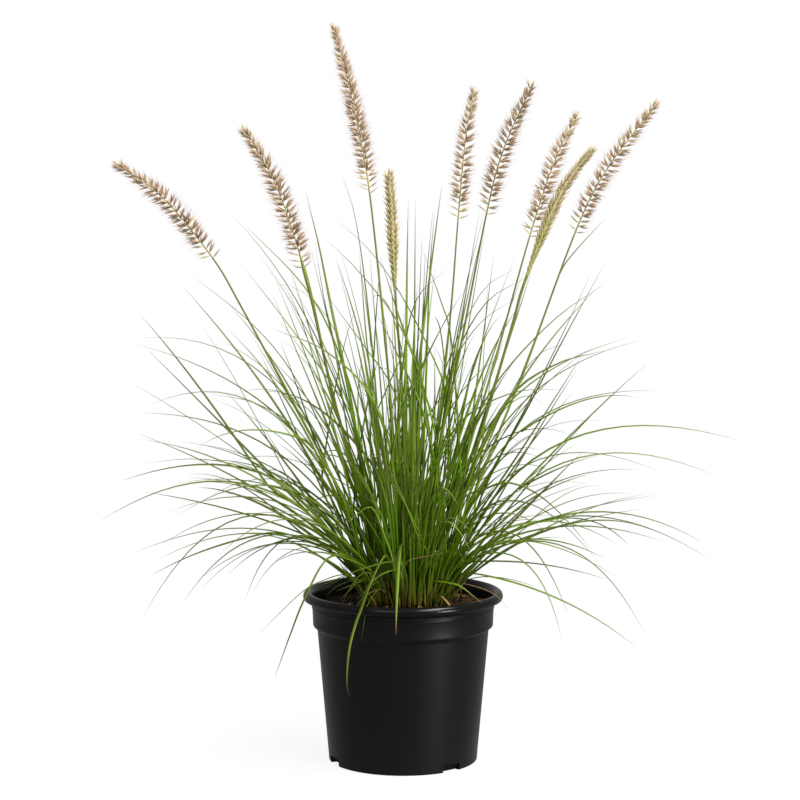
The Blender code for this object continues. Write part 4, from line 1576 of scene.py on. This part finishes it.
def whorl_frame(direction):
    """Two directions square to a stalk's, across the front view and into its depth."""
    across = direction.cross(Vector((0.0, 1.0, 0.0))).normalized()
    return across, across.cross(direction).normalized()


def leaned(direction, out, tilt):
    """The direction, tilted outwards."""
    return (direction * math.cos(tilt) + out * math.sin(tilt)).normalized()


def scattered(dice, direction, angle):
    """The direction, turned by up to this angle at random."""
    axis = Vector((dice.gauss(0, 1), dice.gauss(0, 1), dice.gauss(0, 1))).normalized()
    return Matrix.Rotation(dice.uniform(-angle, angle), 3, axis) @ direction


def ripe_plume(skin, dice, route, reach, full):
    """A loose bottle brush of paired spikelets, thinner at its foot and finer at its tip.

    More of them stand in front of the stalk, on one flank after the other, or on
    both where the plume is full.
    """
    length = route_length(route)
    whorls = round(length / WHORL_SPACING)
    knots = even_route(route, whorls)
    directions = tangents(knots)
    for k in range(whorls):
        along = k / (whorls - 1)
        direction = directions[k]
        across, depth = whorl_frame(direction)
        splay = math.radians(RIPE_TILT - TIP_TILT_LOSS * smoothstep(0.4, 1.0, along))
        size = (0.86 + 0.14 * smoothstep(0.0, 0.2, along)) * (1.0 - 0.3 * smoothstep(0.6, 1.0, along))
        ripeness = smoothstep(0.5, 1.0, along)
        shades = (0.35 * ripeness, 0.62 + 0.38 * ripeness) if along > YOUNG_MARK else (0.7, 1.0)
        swings = SWINGS if along > SIDES_MARK else FOOT_SWINGS
        for flank in (-1, 1):
            shift = dice.uniform(-0.16, 0.16) + 0.4 * (flank > 0)
            over_stalk = along > SIDES_MARK and (full or (k % 2 == 0) == (flank > 0))
            for middle in (*swings, STALK_SWING) if over_stalk else swings:
                swing = math.radians(middle + dice.gauss(0, 8))
                out = across * flank * math.cos(swing) + depth * math.sin(swing)
                foot = knots[k] + direction * WHORL_SPACING * shift + out * 0.5 * MM
                tilt = splay + math.radians(dice.gauss(0, 5))
                axis = leaned(direction, out, tilt)
                cluster(skin, dice, foot, axis, direction, reach * MM * size, shades, along < BARE_MARK)


def last_cluster(skin, dice, route, length):
    """The spikelets that end a plume."""
    stalk = (route[-1] - route[-3]).normalized()
    for step in range(2):
        axis = scattered(dice, stalk, math.radians(14))
        foot = route[-1] - stalk * (1.0 + 3.0 * step) * MM
        cluster(skin, dice, foot, axis, stalk.orthogonal(), length, (0.35, 1.0), False)


def cluster(skin, dice, foot, axis, stalk, length, shades, bare):
    """A spikelet: a husk or two among the bristles of their tuft."""
    side = axis.cross(stalk).normalized()
    face = Matrix.Rotation(dice.uniform(-0.9, 0.9), 3, axis) @ side.cross(axis)
    count = 1 if bare else dice.choice(HUSK_COUNTS)
    start = foot + axis * 0.3 * MM
    for i in range(count):
        fan = math.radians((i - (count - 1) / 2) * HUSK_FAN + dice.gauss(0, 4))
        direction = Matrix.Rotation(fan, 3, axis.cross(face)) @ axis
        husk(skin, start, direction, face, length * dice.uniform(0.78, 1.0),
             dice.uniform(*HUSK_WIDTHS) * (BARE_HUSK_SHARE if bare else 1.0), dealt_tint(dice, *shades))
    for _ in range(BARE_BRISTLE_COUNT if bare else BRISTLE_COUNT):
        direction = scattered(dice, axis, BRISTLE_SCATTER)
        bend = (direction - axis) * 0.25
        bristle(skin, foot + axis * 0.4 * MM, direction, bend, length * dice.uniform(0.9, 1.25),
                dice.uniform(0.08, 0.12) * MM, dealt_tint(dice))


def unripe_fullness(along, taper):
    """How far an unripe plume has opened, from its foot to its tip."""
    return smoothstep(-0.06, 0.42, along) * (1.0 - taper * smoothstep(0.55, 1.0, along))


def add_unripe_core(skin, route, full, taper):
    """The body that shows between an unripe plume's spikelets, greener below its turn."""
    spans = 30
    turn = 12
    core = even_route(route, spans)
    radii = []
    for i in range(spans + 1):
        t = i / spans
        radii.append(full * unripe_fullness(t, taper) * (1.0 - 0.4 * t))
    tube(skin, core[:turn + 1], radii[:turn + 1], 10, 0.8, HUSK_SLOT, alongs=(0.3, 0.5))
    tube(skin, core[turn:], radii[turn:], 10, 0.55, HUSK_SLOT, alongs=(0.5, 0.75))


def unripe_plume(skin, dice, route, reach, taper, spread):
    """A tight herringbone spike whose spikelets still lie along it.

    taper is how far its tip narrows, spread how far its spikelets stand out.
    """
    levels = round(route_length(route) / UNRIPE_SPACING)
    knots = even_route(route, levels)
    directions = tangents(knots)
    add_unripe_core(skin, route, reach * UNRIPE_CORE * MM, taper)
    for k in range(levels):
        along = k / (levels - 1)
        direction = directions[k]
        across, depth = whorl_frame(direction)
        fullness = unripe_fullness(along, taper)
        opened = unripe_fullness(along, 0.0)
        greenness = 1.0 - smoothstep(0.15, 0.65, along)
        for turn, splay, length, shift in UNRIPE_WHORL:
            angle = math.radians(turn + dice.gauss(0, 4))
            out = across * math.cos(angle) + depth * math.sin(angle)
            tilt = math.radians((splay * spread + dice.gauss(0, 3)) * (0.2 + 0.8 * opened))
            axis = leaned(direction, out, tilt)
            foot = knots[k] + direction * UNRIPE_SPACING * shift + out * (0.7 + reach * 0.15 * fullness) * MM
            face = axis.cross(out).normalized()
            size = length * MM * (reach / UNRIPE_REACH) * (0.6 + 0.4 * fullness)
            size *= dice.uniform(0.9, 1.1) / spread
            husk(skin, foot, axis, face, size, (1.8 + 1.5 * fullness) * MM,
                 dealt_tint(dice, 0.55 * greenness, 0.45 + 0.55 * greenness))
            for _ in range(2 if splay * spread > BRISTLED_TILT else 0):
                ray = scattered(dice, axis, math.radians(13))
                bristle(skin, foot, ray, out * 0.1, size * dice.uniform(0.9, 1.25),
                        dice.uniform(0.09, 0.12) * MM, dealt_tint(dice))


def build_plume(number, route, reach, foot_radius):
    dice = random.Random(900 + number)
    skin = Skin()
    fine = 100
    route = even_route(route, fine)
    route = route[:fine + 1 - round(fine * LAST_SPIKELETS / route_length(route))]
    spans = 40
    knots = even_route(route, spans)
    bare = BARE_FOOT.get(number, 0.0)
    body_radius = UNRIPE_RACHIS_RADIUS if number in UNRIPE_PLUMES else RIPE_RACHIS_RADIUS
    radii = []
    for i in range(spans + 1):
        t = i / spans
        slimmed = smoothstep(bare * 0.5, bare + 0.12, t)
        radius = foot_radius + (body_radius - foot_radius) * slimmed
        radii.append(radius * (1.0 - 0.45 * t))
    sunk = knots[0] - (knots[1] - knots[0]).normalized() * 3 * MM
    tube(skin, [sunk, *knots], [foot_radius * 0.85, *radii], 8, stalk_tint(number), RACHIS_SLOT)
    route = route[round(bare * (len(route) - 1)):]
    if number in UNRIPE_PLUMES:
        unripe_plume(skin, dice, route, reach, *UNRIPE_PLUMES[number])
        materials = [UNRIPE_HUSK, UNRIPE_BRISTLE, RACHIS]
    else:
        ripe_plume(skin, dice, route, reach, number in FULL_PLUMES)
        last_cluster(skin, dice, route, reach * LAST_SIZE * MM)
        materials = [RIPE_HUSK, RIPE_BRISTLE, RACHIS]
    settle(skin.piece(f"plume_{number}_spikelets", materials), "plume", f"plume_{number}")


def build_flowers():
    for number, row in enumerate(FLOWER_STEMS, 1):
        below, above = flower_route(row)
        build_stem(number, below, row[4] * MM)
        build_plume(number, above, row[3], row[4] * MM)


# ------------------------------------------------------------------- studio

# The camera stands 2.7 m in front of the pot and looks slightly down.
CAMERA_PLACE = Vector((0.0, -2.7, 0.68))
CAMERA_AIM = Vector((-0.0035, 0.0, 0.4145))
CAMERA_LENS = 107.4  # on a 36 mm sensor

# The lamps: name, place, size, power, and whether they light matt surfaces. The last
# shows only as a sheen.
LAMP_AIM = Vector((0.0, 0.0, 0.35))
SOFTBOXES = (
    ("key_softbox", (1.5, -1.9, 2.6), 1.1, 86.0, True),
    ("top_softbox", (1.1, -0.45, 2.3), 0.7, 46.0, True),
    ("fill_softbox", (-1.0, -2.6, 1.9), 1.3, 18.0, True),
    ("sheen_softbox", (1.22, -1.06, 0.16), 0.4, 17.0, False),
)
BACKDROP_LIGHT = 0.38  # the white backdrop's strength as light
FLOOR_COVER = 0.1  # how much of the floor shows under the pot


def add_aimed(name, data, spot, aim):
    """A camera or lamp at this spot that faces the aim."""
    aimed = add_piece(name, data)
    aimed.location = spot
    aimed.rotation_euler = (aim - Vector(spot)).to_track_quat("-Z", "Y").to_euler()
    return aimed


def set_camera():
    data = bpy.data.cameras.new("photo_view")
    data.sensor_width = 36.0
    data.lens = CAMERA_LENS
    bpy.context.scene.camera = add_aimed("photo_view", data, CAMERA_PLACE, CAMERA_AIM)


def set_world():
    """White to the eye, a softer white as light."""
    world = bpy.data.worlds.new("studio")
    world.use_nodes = True
    bpy.context.scene.world = world
    tree = world.node_tree
    seen = add_node(tree, "Background", Color=(1.0, 1.0, 1.0, 1.0), Strength=1.0)
    light = add_node(tree, "Background", Color=(1.0, 1.0, 1.0, 1.0), Strength=BACKDROP_LIGHT)
    by_eye = tree.nodes.new("ShaderNodeLightPath").outputs["Is Camera Ray"]
    mix = tree.nodes.new("ShaderNodeMixShader")
    tree.links.new(by_eye, mix.inputs[0])
    tree.links.new(light.outputs[0], mix.inputs[1])
    tree.links.new(seen.outputs[0], mix.inputs[2])
    tree.links.new(mix.outputs[0], tree.nodes["World Output"].inputs[0])


def add_softbox(name, spot, size, power, lights_matt):
    """A square lamp that faces the middle of the plant."""
    data = bpy.data.lights.new(name, "AREA")
    data.size = size
    data.energy = power
    add_aimed(name, data, spot, LAMP_AIM).visible_diffuse = lights_matt


def floor_material():
    """A pale floor that thins out into the white backdrop round it."""
    material, tree, shader = new_material("pale_floor", 0.9, 0.1)
    spot = object_spot(tree)
    cloud = noise_value(tree, spot, 1.5)
    colour = mixed(tree, cloud, (247, 247, 246.4), (249.3, 249.3, 248.7))
    distance = tree.nodes.new("ShaderNodeVectorMath")
    distance.operation = "LENGTH"
    tree.links.new(spot, distance.inputs[0])
    fade = ranged(tree, distance.outputs["Value"], 0.08, 0.3, FLOOR_COVER, 0.0)
    tree.links.new(fade, shader.inputs["Alpha"])
    return coated(material, colour)


def build_floor():
    half = 1.5
    mesh = bpy.data.meshes.new("studio_floor")
    corners = [(-half, -half, 0.0), (half, -half, 0.0), (half, half, 0.0), (-half, half, 0.0)]
    mesh.from_pydata(corners, [], [(0, 1, 2, 3)])
    mesh.materials.append(floor_material())
    add_piece("studio_floor", mesh)


def build_studio():
    set_camera()
    set_world()
    for softbox in SOFTBOXES:
        add_softbox(*softbox)
    build_floor()
    view = bpy.context.scene.view_settings
    view.view_transform = "Standard"
    view.look = "None"


build_studio()
build_pot()
build_soil()
build_crumbs()
build_fibres()
build_litter()
build_sheaths()
build_shoots()
build_side_leaves()
build_crossing_leaves()
build_rim_leaves()
build_low_leaves()
build_loose_leaves()
build_flowers()
